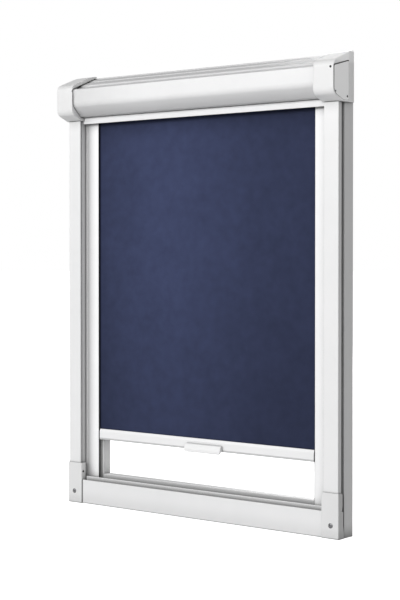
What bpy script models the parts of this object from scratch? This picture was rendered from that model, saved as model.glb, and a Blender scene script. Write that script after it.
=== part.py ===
"""Skylight window blind with a spring roller, a pull bar and a frame of extruded rails.

Metres, +Z up, X across the window, Y from the front (-) to the rear (+). The origin is the
centre of the bottom rail's rear face. Heights below are measured from the brackets' underside,
and place_z() turns them into world heights.
"""

import math

import bmesh
import bpy
from mathutils import Vector

MM = 0.001

# General fits
SEAT_GAP = 0.3 * MM          # between pieces that touch
RUN_GAP = 0.4 * MM           # between pieces that slide on each other
WALL = 1.5 * MM              # wall of the aluminium extrusions
EDGE_ROUND = 0.5 * MM        # rounds on the extrusions' and mouldings' edges
FINE_ROUND = 0.4 * MM
SOFT_ROUND = 0.6 * MM
CLEAR = 5 * MM               # how far a cutting shape reaches beyond what it cuts
BITE = 1 * MM                # the same, where less room is free

# Overall frame
FRAME_WIDTH = 610 * MM       # over the side rails' outer faces
RAIL_DEPTH = 41.7 * MM       # from the rear face to the rib's front face
HEAD_BASE = 711 * MM         # underside of the end caps
HEAD_RISE = 82.5 * MM        # from there to the head's rear top edge

# Side rail
RIB_WIDTH = 29.1 * MM
GUIDE_WIDTH = 29.7 * MM      # from the rib to the guide's lip
GUIDE_SETBACK = 17.2 * MM    # of the guide's front face behind the rib's
REAR_LEG_REACH = 6.6 * MM    # of the rear leg beyond the guide's lip
LIP_WALL = 1.5 * MM
SLOT_WIDTH = 5.8 * MM
SLOT_POCKET = 21.8 * MM      # depth of the guide slot behind its lip
SIDE_GROOVE_FRONT = 8.5 * MM # of the outer groove behind the rib's front face
SIDE_GROOVE_WIDTH = 8.4 * MM
SIDE_GROOVE_DEPTH = 7.0 * MM
RIB_FILLET = 3.2 * MM
RIB_ROUND = 0.8 * MM
SHADOW_GROOVE = 1.2 * MM     # fine grooves in the rails' inner sides
SHADOW_SETBACK = 0.2 * MM    # of the shadow groove from the fillet
UNDERCUT_WIDTH = 2.8 * MM    # of the recess behind the rib's front edge
FINE_GROOVE = 0.7 * MM
LEG_GROOVE_START = 1.5 * MM  # of the leg's fine groove behind the slot
LEG_GROOVE_STEP = 0.4 * MM

# Bottom rail
FACE_HEIGHT = 43.8 * MM
FACE_BASE = 0.4 * MM
FACE_LIP = 2.2 * MM          # wall in front of the trough
TROUGH_FLOOR = 37.5 * MM
BOTTOM_LIP_TOP = 49.6 * MM
BOTTOM_LIP_FRONT = 10.3 * MM # behind the front face
BOTTOM_LIP_WALL = 1.8 * MM
LEDGE_TOP = 55.2 * MM
CHANNEL_FLOOR = 28 * MM
LEDGE_ROUND = 1.3 * MM
COPE_GAP = 0.8 * MM          # between the face's end and the bracket
FACE_ROUND = 1.0 * MM

# Corner bracket
BRACKET_HEIGHT = 75 * MM
BRACKET_WALL = 1.3 * MM
BRACKET_FLOOR = 1.5 * MM
BRACKET_INNER_WALL = 3.1 * MM
BRACKET_SIDE_DEPTH = 11.6 * MM
BRACKET_SHOE = 4.0 * MM      # how much deeper the side is at its foot
BRACKET_FOOT_HEIGHT = 10 * MM
BRACKET_FLARE = 12 * MM      # height over which the foot narrows
BRACKET_WAIST = 2.0 * MM     # how much deeper the side is between foot and notch
BRACKET_TOP_ROUND = 3.5 * MM
LATCH_HEIGHT = 49 * MM       # of the notch in the bracket's rear edge
LATCH_HALF = 5 * MM
LATCH_SHOULDER = 1 * MM
LATCH_DEPTH = 2 * MM
PEEP_RADIUS = 1.5 * MM       # of the small holes in the mouldings
PEEP_DEPTH = 2 * MM
BRACKET_PEEP_HEIGHT = 59 * MM
BRACKET_PEEP_INSET = 3 * MM  # behind the rail's front face
TONGUE_LENGTH = 26 * MM
TONGUE_ROOT = 2 * MM         # of a cap's tongue inside the cap
TONGUE_RELIEF = 2.0 * MM     # in front of a tongue, for the rail's inner rounds
RAIL_TONGUE_LENGTH = 17 * MM
RAIL_TONGUE_STEP = 0.2 * MM  # in from the bracket's inner wall
SCREW_HEIGHT = 21.6 * MM
SCREW_INSET = 14.2 * MM      # from the rail's outer face
SCREW_HEAD_RADIUS = 3.4 * MM
SCREW_RECESS_RADIUS = 4.3 * MM
SCREW_SHANK_RADIUS = 1.7 * MM
SCREW_RECESS = 0.9 * MM
SLOT_HALF = 0.45 * MM
SLOT_DEPTH = 0.6 * MM
SCREW_LENGTH = 13 * MM       # behind the rail's front face
SCREW_POINT = 1.5 * MM
SCREW_HEAD_ROUND = 0.7 * MM

# Head
HEAD_WALL = 1.6 * MM
COVER_WALL = 1.5 * MM
COVER_FRONT = 63.5 * MM      # in front of the rear face
COVER_TOP = 56.0 * MM        # height of its top edge above the head's base
COVER_CORNER = 27.0 * MM     # height of the corner where the lower slope starts
COVER_CORNER_RADIUS = 14 * MM
COVER_SLOPE_HEIGHT = 7.6 * MM
COVER_SLOPE_END = 44.5 * MM
COVER_LIP_HEIGHT = 6.4 * MM
COVER_LIP_END = 30.5 * MM
COVER_FLANGE = 5.1 * MM      # depth of the top flange
COVER_HOOK = 3.6 * MM
HEAD_FOOT = 5.5 * MM
HEAD_LIP = 5.5 * MM
COVER_EDGE_ROUND = 1.2 * MM
COVER_KNEE_ROUND = 3 * MM
TOP_GROOVES = (              # start and end in front of the rear face, and depth
    (3.0 * MM, 9.0 * MM, 1.2 * MM),
    (20.0 * MM, 27.0 * MM, 1.4 * MM),
    (41.5 * MM, None, 2.6 * MM),
)
REAR_PORT_INSET = 6.7 * MM   # in front of the panel's rear edge
REAR_PORT_DROP = 10.2 * MM
FRONT_PORT = 52 * MM
FRONT_PORT_DROP = 8.5 * MM
PORT_RADIUS = 1.6 * MM
PORT_WALL = 1.4 * MM
PORT_OPENING = 50            # half angle of the port's open side, in degrees
CAP_SCREW_RADIUS = 1.3 * MM
CAP_SCREW_HEAD = 2.6 * MM
CAP_SCREW_LENGTH = 10 * MM   # inside the head
CAP_SCREW_SEAT = 1.2 * MM    # height of the head's straight side
CAP_SCREW_DOME = 0.7 * MM
STRIP_FRONT = 34.0 * MM
STRIP_HEIGHT = 11.6 * MM
STRIP_TOP = 6.0 * MM         # above the head's base
STRIP_DEPTH = 9.0 * MM

# End cap
CAP_FRONT = 67.2 * MM
CAP_WIDTH = 39.6 * MM
CAP_OVERHANG = 6.9 * MM      # beyond the rail's outer face
CAP_REAR_TAPER = 5.0 * MM
PLATE_ROOM = 1.0 * MM        # between the bearing plate and the cap's cavity
CAP_TOP = 86.0 * MM
CAP_REAR_ROUND = 4 * MM
CAP_TOP_BREAK = 20 * MM      # depth at which the top starts to fall
CAP_TOP_FALL = 4.2 * MM
CAP_TOP_ROUND = 12 * MM
CAP_FRONT_TOP = 63.0 * MM    # height of the upper front corner before its round
CAP_BROW_RADIUS = 12 * MM
CAP_CHIN = 11.5 * MM         # height of the lower front corner
CAP_CHIN_RADIUS = 13 * MM
CAP_CHIN_END = 40 * MM
CAP_KNEE_ROUND = 5 * MM
CAP_EDGE_RADIUS = 1.6 * MM
CAP_POCKET = 7.2 * MM
POCKET_HEADROOM = 1.2 * MM   # above the head's ribbed top
POCKET_FOOT_ROOM = 1.5 * MM
POCKET_FRONT_ROOM = 2.2 * MM # in front of the cover
CAP_WEB = 3.2 * MM
PANEL_WALL = 2.0 * MM
PANEL_SEAM = 1.8 * MM
PANEL_LEDGE = 1.0 * MM
PANEL_INSET = 3.0 * MM
PANEL_REAR_INSET = 1.3 * MM
PANEL_LOW_INSET = 2.4 * MM
PANEL_KNEE_INSET = 1.2 * MM
PANEL_TOP_ROUND = 2.5 * MM
PANEL_REAR_ROUND = 1.5 * MM
PANEL_KNEE_ROUND = 2 * MM
PANEL_FRONT_TOP = 55.5 * MM
PANEL_TOP_ANGLE = 14.4       # rise of its top edge towards the rear, in degrees
PANEL_LATCH = 14.0 * MM      # height of the latch slot
LATCH_REACH = 4.1 * MM       # of the latch slot behind the panel's front edge
LATCH_SLOT_HALF = 0.8 * MM
LATCH_END_RISE = 0.8 * MM
PANEL_HOLE_HEIGHT = 8.3 * MM
PANEL_HOLE_INSET = 4.0 * MM  # from the panel's rear edge
SIGHT_HEIGHT = 53.4 * MM     # of the small hole in the right cap's front
SIGHT_INSET = 5.5 * MM       # from the cap's outer face
EDGE_NOTCH_HEIGHT = 53.1 * MM

# Roller
TUBE_RADIUS = 14.0 * MM
TUBE_WALL = 1.2 * MM
WOUND_THICKNESS = 0.8 * MM
FABRIC_THICKNESS = 0.6 * MM
ROLLER_HEIGHT = 39.5 * MM    # of its axis above the head's base
SHAFT_RADIUS = 4.0 * MM
BORE_CLEARANCE = 0.35 * MM
SHAFT_SQUARE = 5.0 * MM
SHAFT_BEVEL = 0.8 * MM
SQUARE_PROUD = 1.5 * MM      # of the squared end beyond its plate
SQUARE_ROOT = 2 * MM         # of the squared end inside the round shaft
PLATE_WALL = 2.0 * MM
PLATE_HALF = 10.5 * MM
PLATE_ROUND = 3 * MM
COLLAR_RADIUS = 9 * MM
COLLAR_WIDTH = 2.5 * MM
COLLAR_INSET = 3 * MM
PLUG_LENGTH = 16 * MM
FLANGE_RADIUS = 15.5 * MM
FLANGE_WIDTH = 2.0 * MM
TUBE_END_GAP = 6.0 * MM      # between the tube's end and the cap
SPRING_TURNS = 36
SPRING_STEPS = 8             # points in a turn
SPRING_WIRE = 1.3 * MM
SPRING_PITCH = 2.4 * MM
SPRING_RADIUS = 7.5 * MM

# Bar, at rest
BAR_BASE = 119.6 * MM
BAR_HEIGHT = 19.7 * MM
BAR_DEPTH = 6.6 * MM
BAR_END_GAP = 2.4 * MM       # between the bar's end and the guide's lip
BAR_BEVEL_HEIGHT = 4.6 * MM
BAR_BEVEL_DEPTH = 1.9 * MM
BAR_WALL = 1.3 * MM
BAR_CHAMBER = 10.6 * MM
ROD_DROP = 4.4 * MM          # of the hem rod's axis below the bar's top
GLIDE_TONGUE = 17 * MM
GLIDE_ROOT = 3 * MM          # of the tongue inside the shoe
GLIDE_BASE = 1 * MM          # above the bar's underside
GLIDE_ROUND = 1.5 * MM
PAD_LENGTH = 6.3 * MM
PAD_BASE = 2.5 * MM          # above the bar's underside
PAD_TOP = 14 * MM
PAD_ROUND = 2 * MM
FABRIC_EDGE_GAP = 6.0 * MM   # between the fabric's edge and the end of the slot
HANDLE_WIDTH = 81 * MM
HANDLE_OFFSET = 8.5 * MM
HANDLE_PROUD = 7.8 * MM
HANDLE_DROP = 4.2 * MM       # below the bar's underside
HANDLE_HEIGHT = 14.6 * MM
HANDLE_LIP = 3.6 * MM
HANDLE_NOSE = 5.4 * MM       # height at which the front starts to slope back
HANDLE_CORNER = 4.5 * MM
HANDLE_SEAT = 0.6 * MM       # above the bar's underside
HANDLE_ROUND = 2.4 * MM
HANDLE_LIP_ROUND = 1.3 * MM
HANDLE_DRAFT = 0.6 * MM      # narrowing of the lip towards its lower edge
KEDER_RADIUS = 1.2 * MM

# Worked out from the sizes above
HALF_WIDTH = FRAME_WIDTH / 2
RIB_INNER = HALF_WIDTH - RIB_WIDTH
LIP_EDGE = RIB_INNER - GUIDE_WIDTH
LEG_EDGE = LIP_EDGE - REAR_LEG_REACH
GUIDE_FRONT = -(RAIL_DEPTH - GUIDE_SETBACK)
SLOT_FRONT = GUIDE_FRONT + LIP_WALL
SLOT_REAR = SLOT_FRONT + SLOT_WIDTH
SLOT_END = LIP_EDGE + SLOT_POCKET
FABRIC_PLANE = (SLOT_FRONT + SLOT_REAR) / 2
GROOVE_FRONT = -RAIL_DEPTH + SIDE_GROOVE_FRONT
GROOVE_REAR = GROOVE_FRONT + SIDE_GROOVE_WIDTH
CAP_INNER = HALF_WIDTH + CAP_OVERHANG - CAP_WIDTH
CAP_OUTER = HALF_WIDTH + CAP_OVERHANG
WEB_INNER = CAP_INNER + CAP_POCKET
WEB_OUTER = WEB_INNER + CAP_WEB
ROLL_RADIUS = TUBE_RADIUS + SEAT_GAP + WOUND_THICKNESS
ROLLER_Y = FABRIC_PLANE - FABRIC_THICKNESS / 2 - SEAT_GAP - ROLL_RADIUS
ROLLER_Z = HEAD_BASE + ROLLER_HEIGHT
TUBE_END = CAP_INNER - TUBE_END_GAP
PANEL_REAR = ROLLER_Y + PLATE_HALF + PLATE_ROOM + PANEL_LEDGE
CAP_TAPER_START = -PANEL_REAR - PANEL_REAR_INSET
REAR_PORT = REAR_PORT_INSET - PANEL_REAR
SPRING_LENGTH = SPRING_TURNS * SPRING_PITCH + 3 * SPRING_WIRE
FABRIC_EDGE = SLOT_END - FABRIC_EDGE_GAP
BAR_FRONT = SLOT_REAR - RUN_GAP - BAR_DEPTH
BAR_REAR = SLOT_REAR - RUN_GAP
BAR_END = LIP_EDGE - BAR_END_GAP
ORIGIN_HEIGHT = (LEDGE_TOP + FACE_BASE) / 2

WHITE_COAT = ("white_coat", (0.86, 0.86, 0.85), 0.34, 0.0)
WHITE_PLASTIC = ("white_plastic", (0.84, 0.84, 0.83), 0.42, 0.0)
NAVY_FABRIC = ("navy_fabric", (0.045, 0.055, 0.115), 0.85, 0.0)
BRIGHT_STEEL = ("bright_steel", (0.60, 0.60, 0.61), 0.35, 1.0)
GREY_PLASTIC = ("grey_plastic", (0.30, 0.31, 0.32), 0.55, 0.0)
BARE_ALUMINIUM = ("bare_aluminium", (0.74, 0.75, 0.76), 0.40, 1.0)
DARK_FELT = ("dark_felt", (0.05, 0.05, 0.055), 0.95, 0.0)


def clear_scene():
    """Remove what the file held before."""
    for item in list(bpy.data.objects):
        bpy.data.objects.remove(item, do_unlink=True)


def place_z(height):
    """World height of a height above the brackets' underside."""
    return height - ORIGIN_HEIGHT


def finish_of(name, colour, roughness, metallic):
    """One Principled material per finish."""
    found = bpy.data.materials.get(name)
    if found:
        return found
    made = bpy.data.materials.new(name)
    made.use_nodes = True
    shader = made.node_tree.nodes["Principled BSDF"]
    shader.inputs["Base Color"].default_value = (*colour, 1.0)
    shader.inputs["Roughness"].default_value = roughness
    shader.inputs["Metallic"].default_value = metallic
    made.diffuse_color = (*colour, 1.0)
    return made


def to_object(name, bm, finish, smooth=True, parent=None):
    """Close the mesh, turn its faces outwards and put it in the scene."""
    bmesh.ops.recalc_face_normals(bm, faces=bm.faces)
    mesh = bpy.data.meshes.new(name)
    bm.to_mesh(mesh)
    bm.free()
    mesh.materials.append(finish_of(*finish))
    item = bpy.data.objects.new(name, mesh)
    bpy.context.collection.objects.link(item)
    if smooth:
        mesh.shade_smooth()
        mesh.set_sharp_from_angle(angle=math.radians(32))
    if parent:
        item.parent = parent
        item.matrix_parent_inverse = parent.matrix_world.inverted()
    return item


# Outlines

def corner_arc(before, corner, after, radius, steps):
    """Points of the round that replaces one corner of an outline."""
    to_before = (before - corner).normalized()
    to_after = (after - corner).normalized()
    half_angle = to_before.angle(to_after) / 2
    reach = radius / math.tan(half_angle)
    reach = min(reach, 0.49 * (before - corner).length, 0.49 * (after - corner).length)
    radius = reach * math.tan(half_angle)
    centre = corner + (to_before + to_after).normalized() * radius / math.sin(half_angle)
    first = corner + to_before * reach - centre
    last = corner + to_after * reach - centre
    sweep = first.angle_signed(last)
    points = []
    for step in range(steps + 1):
        turn = -sweep * step / steps
        points.append(centre + Vector((first.x * math.cos(turn) - first.y * math.sin(turn),
                                       first.x * math.sin(turn) + first.y * math.cos(turn))))
    return points


def outline(corners, steps=4, closed=True):
    """A polyline from corners (a, b) or (a, b, radius)."""
    spots = [Vector(corner[:2]) for corner in corners]
    points = []
    for index, corner in enumerate(corners):
        at_end = not closed and index in (0, len(corners) - 1)
        if len(corner) < 3 or at_end:
            points.append(spots[index])
            continue
        after = spots[(index + 1) % len(spots)]
        points += corner_arc(spots[index - 1], spots[index], after, corner[2], steps)
    return points


def ring(centre, radius, count=24, start=0.0):
    """A circle of points in a section's plane."""
    turns = [start + math.tau * step / count for step in range(count)]
    return [Vector((centre[0] + radius * math.cos(t), centre[1] + radius * math.sin(t)))
            for t in turns]


def shell(corners, wall, steps=4):
    """A thin wall to the left of an open run of corners (a, b) or (a, b, radius), as a loop."""
    spots = [Vector(corner[:2]) for corner in corners]
    inner = []
    for index, point in enumerate(spots):
        into = (point - spots[index - 1]).normalized() if index else None
        out = (spots[index + 1] - point).normalized() if index < len(spots) - 1 else into
        into = into or out
        along = (into + out).normalized()
        normal = Vector((-along.y, along.x))
        offset = point + normal * wall / normal.dot(Vector((-into.y, into.x)))
        turn = into.x * out.y - into.y * out.x
        corner = [offset.x, offset.y]
        if len(corners[index]) == 3:
            corner.append(max(corners[index][2] - math.copysign(wall, turn), SEAT_GAP))
        inner.append(tuple(corner))
    return outline(list(corners) + inner[::-1], steps)


# Solids

def add_prism(bm, loops, start, end, place):
    """Extrude a section of outer and inner loops from start to end. place() gives the points."""
    rings = []
    for distance in (start, end):
        edges = []
        level = []
        for loop in loops:
            corners = [bm.verts.new(place(point, distance)) for point in loop]
            for index, corner in enumerate(corners):
                edges.append(bm.edges.new((corner, corners[(index + 1) % len(corners)])))
            level.append(corners)
        bmesh.ops.triangle_fill(bm, edges=edges, use_beauty=True)
        rings.append(level)
    for low, high in zip(*rings):
        for index in range(len(low)):
            after = (index + 1) % len(low)
            bm.faces.new((low[index], low[after], high[after], high[index]))


def upright(side):
    """Section in (distance from the middle, Y), extruded up Z."""
    return lambda point, height: (side * point.x, point.y, place_z(height))


def across(side=1):
    """Section in (Y, height), extruded along X."""
    return lambda point, reach: (side * reach, point.x, place_z(point.y))


def facing(side=1):
    """Section in (distance from the middle, height), extruded along Y."""
    return lambda point, depth: (side * point.x, depth, place_z(point.y))


def prism(name, loops, start, end, place, finish, parent=None):
    """One extruded piece."""
    bm = bmesh.new()
    add_prism(bm, loops, start, end, place)
    return to_object(name, bm, finish, parent=parent)


def box_loop(a0, a1, b0, b1):
    """A rectangle as a loop of a section."""
    return [Vector((a0, b0)), Vector((a1, b0)), Vector((a1, b1)), Vector((a0, b1))]


def box(name, u0, u1, y0, y1, h0, h1, side=1, finish=WHITE_COAT):
    """A block given by its reach from the middle, depth and heights."""
    return prism(name, [box_loop(u0, u1, y0, y1)], h0, h1, upright(side), finish)


def add_turned(bm, profile, place, count):
    """Revolve an open profile (distance along the axis, radius) and close its two ends."""
    rings = []
    for along, radius in profile:
        rings.append([bm.verts.new(place(along, spot)) for spot in ring((0, 0), radius, count)])
    for low, high in zip(rings, rings[1:]):
        bridge(bm, low, high)
    bm.faces.new(rings[0])
    bm.faces.new(rings[-1])


def bridge(bm, low, high):
    """Faces between two rings of the same count."""
    for index in range(len(low)):
        after = (index + 1) % len(low)
        bm.faces.new((low[index], low[after], high[after], high[index]))


def turned(name, profile, place, finish, count=24, parent=None):
    """A turned solid."""
    bm = bmesh.new()
    add_turned(bm, profile, place, count)
    return to_object(name, bm, finish, parent=parent)


def revolved(name, loop, place, finish, count=32, parent=None):
    """A turned solid with a bore, from a closed profile clear of the axis."""
    bm = bmesh.new()
    rings = []
    for along, radius in loop:
        rings.append([bm.verts.new(place(along, spot)) for spot in ring((0, 0), radius, count)])
    for index, low in enumerate(rings):
        bridge(bm, low, rings[(index + 1) % len(rings)])
    return to_object(name, bm, finish, parent=parent)


def axis_x(side, start, y, height):
    """Axis across the window, outwards from start."""
    return lambda along, spot: (side * (start + along), y + spot.x, place_z(height) + spot.y)


def axis_out(side, reach, y, height):
    """Axis out of the front, from depth y."""
    return lambda along, spot: (side * reach + spot.x, y - along, place_z(height) + spot.y)


def boolean(target, other, operation="DIFFERENCE"):
    """A live cut or union with a hidden helper shape."""
    modifier = target.modifiers.new(other.name, "BOOLEAN")
    modifier.object = other
    modifier.operation = operation
    modifier.solver = "EXACT"
    other.hide_render = True
    other.display_type = "WIRE"
    return target


def weigh_normals():
    """Keep large flat faces flat beside small rounds."""
    for item in bpy.data.objects:
        if item.type == "MESH" and not item.hide_render:
            modifier = item.modifiers.new("weighted_normals", "WEIGHTED_NORMAL")
            modifier.keep_sharp = True


def empty_at(name, location):
    """The frame of a moving body, on its joint's axis."""
    item = bpy.data.objects.new(name, None)
    item.location = location
    bpy.context.collection.objects.link(item)
    bpy.context.view_layer.update()
    return item


# Frame

def side_rail(name, side):
    """One extrusion: rib with its outer groove, guide with its slot, rear leg, three chambers."""
    shadow = GUIDE_FRONT - RIB_FILLET - SHADOW_SETBACK
    undercut = -RAIL_DEPTH + WALL
    groove = SLOT_REAR + LEG_GROOVE_START
    rim = [
        (HALF_WIDTH, 0, EDGE_ROUND),
        (LEG_EDGE, 0, EDGE_ROUND),
        (LEG_EDGE, groove + 3 * LEG_GROOVE_STEP),
        (LEG_EDGE + FINE_GROOVE, groove + 2 * LEG_GROOVE_STEP),
        (LEG_EDGE + FINE_GROOVE, groove + LEG_GROOVE_STEP),
        (LEG_EDGE, groove),
        (LEG_EDGE, SLOT_REAR, SOFT_ROUND),
        (SLOT_END, SLOT_REAR),
        (SLOT_END, SLOT_FRONT),
        (LIP_EDGE, SLOT_FRONT, FINE_ROUND),
        (LIP_EDGE, GUIDE_FRONT, SOFT_ROUND),
        (RIB_INNER, GUIDE_FRONT, RIB_FILLET),
        (RIB_INNER, shadow),
        (RIB_INNER + SHADOW_GROOVE, shadow),
        (RIB_INNER + SHADOW_GROOVE, shadow - SHADOW_GROOVE),
        (RIB_INNER, shadow - SHADOW_GROOVE),
        (RIB_INNER, undercut + UNDERCUT_WIDTH),
        (RIB_INNER + SHADOW_GROOVE, undercut + UNDERCUT_WIDTH),
        (RIB_INNER + SHADOW_GROOVE, undercut),
        (RIB_INNER, undercut),
        (RIB_INNER, -RAIL_DEPTH, RIB_ROUND),
        (HALF_WIDTH, -RAIL_DEPTH, RIB_ROUND),
        (HALF_WIDTH, GROOVE_FRONT, FINE_ROUND),
        (HALF_WIDTH - SIDE_GROOVE_DEPTH, GROOVE_FRONT),
        (HALF_WIDTH - SIDE_GROOVE_DEPTH, GROOVE_REAR),
        (HALF_WIDTH, GROOVE_REAR, FINE_ROUND),
    ]
    rib_inside = RIB_INNER + SHADOW_GROOVE + WALL
    rib_floor = HALF_WIDTH - SIDE_GROOVE_DEPTH - WALL
    rib_chamber = [
        (rib_inside, -RAIL_DEPTH + WALL, EDGE_ROUND),
        (HALF_WIDTH - WALL, -RAIL_DEPTH + WALL, EDGE_ROUND),
        (HALF_WIDTH - WALL, GROOVE_FRONT - WALL, EDGE_ROUND),
        (rib_floor, GROOVE_FRONT - WALL, EDGE_ROUND),
        (rib_floor, GROOVE_REAR, EDGE_ROUND),
        (rib_inside, GROOVE_REAR, EDGE_ROUND),
    ]
    rear_chamber = [
        (SLOT_END + WALL, GROOVE_REAR + WALL, EDGE_ROUND),
        (HALF_WIDTH - WALL, GROOVE_REAR + WALL, EDGE_ROUND),
        (HALF_WIDTH - WALL, -WALL, EDGE_ROUND),
        (SLOT_END + WALL, -WALL, EDGE_ROUND),
    ]
    leg_chamber = [
        (LEG_EDGE + WALL + FINE_GROOVE, SLOT_REAR + WALL, EDGE_ROUND),
        (SLOT_END, SLOT_REAR + WALL, EDGE_ROUND),
        (SLOT_END, -WALL, EDGE_ROUND),
        (LEG_EDGE + WALL + FINE_GROOVE, -WALL, EDGE_ROUND),
    ]
    loops = [outline(rim, 3), outline(rib_chamber, 2), outline(rear_chamber, 2),
             outline(leg_chamber, 2)]
    rail = prism(name, loops, BRACKET_FLOOR + SEAT_GAP, HEAD_BASE - SEAT_GAP, upright(side),
                 WHITE_COAT)
    bore = SCREW_SHANK_RADIUS + SEAT_GAP
    hole = turned(name + "_screw_hole", [(-CLEAR, bore), (CLEAR, bore)],
                  bracket_screw_axis(side), WHITE_COAT, count=12)
    return boolean(rail, hole)


def bracket_screw_axis(side):
    """Axis of the screw in a bracket, from the rail's front face."""
    return axis_out(side, HALF_WIDTH - SCREW_INSET, -RAIL_DEPTH, SCREW_HEIGHT)


def bottom_rail():
    """Face, trough, small lip, channel for the bar and rear ledge, with coped ends."""
    front = -RAIL_DEPTH
    lip_front = front + BOTTOM_LIP_FRONT
    lip_rear = lip_front + BOTTOM_LIP_WALL
    rim = [
        (front, FACE_BASE, EDGE_ROUND),
        (front, FACE_HEIGHT, FACE_ROUND),
        (front + FACE_LIP, FACE_HEIGHT, EDGE_ROUND),
        (front + FACE_LIP, TROUGH_FLOOR, FINE_ROUND),
        (lip_front, TROUGH_FLOOR, FINE_ROUND),
        (lip_front, BOTTOM_LIP_TOP, SOFT_ROUND),
        (lip_rear, BOTTOM_LIP_TOP, SOFT_ROUND),
        (lip_rear, CHANNEL_FLOOR, FACE_ROUND),
        (SLOT_REAR, CHANNEL_FLOOR, FACE_ROUND),
        (SLOT_REAR, LEDGE_TOP, LEDGE_ROUND),
        (0, LEDGE_TOP, SOFT_ROUND),
        (0, FACE_BASE, EDGE_ROUND),
    ]
    front_chamber = [
        (front + WALL, FACE_BASE + WALL, EDGE_ROUND),
        (front + WALL, TROUGH_FLOOR - WALL, EDGE_ROUND),
        (lip_front, TROUGH_FLOOR - WALL, EDGE_ROUND),
        (lip_front, FACE_BASE + WALL, EDGE_ROUND),
    ]
    middle_chamber = [
        (lip_rear, FACE_BASE + WALL, EDGE_ROUND),
        (lip_rear, CHANNEL_FLOOR - WALL, EDGE_ROUND),
        (SLOT_REAR, CHANNEL_FLOOR - WALL, EDGE_ROUND),
        (SLOT_REAR, FACE_BASE + WALL, EDGE_ROUND),
    ]
    rear_chamber = [
        (SLOT_REAR + WALL, FACE_BASE + WALL, EDGE_ROUND),
        (SLOT_REAR + WALL, LEDGE_TOP - WALL, SOFT_ROUND),
        (-WALL, LEDGE_TOP - WALL, EDGE_ROUND),
        (-WALL, FACE_BASE + WALL, EDGE_ROUND),
    ]
    reach = RIB_INNER - SEAT_GAP
    loops = [outline(rim, 3), outline(front_chamber, 2), outline(middle_chamber, 2),
             outline(rear_chamber, 2)]
    rail = prism("bottom_rail", loops, -reach, reach, across(), WHITE_COAT)
    bracket_edge = RIB_INNER - BRACKET_INNER_WALL
    beyond = reach + CLEAR
    guide = GUIDE_FRONT - SEAT_GAP
    plan = [(LEG_EDGE - SEAT_GAP, CLEAR), (LEG_EDGE - SEAT_GAP, guide),
            (reach - RIB_FILLET, guide), (reach, guide - RIB_FILLET), (beyond, guide - RIB_FILLET),
            (beyond, CLEAR)]
    for side, label in ((-1, "left"), (1, "right")):
        front_cope = box("cope_front_" + label, bracket_edge - COPE_GAP, beyond,
                         front - CLEAR, lip_front - SEAT_GAP, -CLEAR, LEDGE_TOP, side)
        rear_cope = prism("cope_rear_" + label, [outline(plan)], -CLEAR, LEDGE_TOP + CLEAR,
                          upright(side), WHITE_COAT)
        boolean(rail, front_cope)
        boolean(rail, rear_cope)
    return rail


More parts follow.
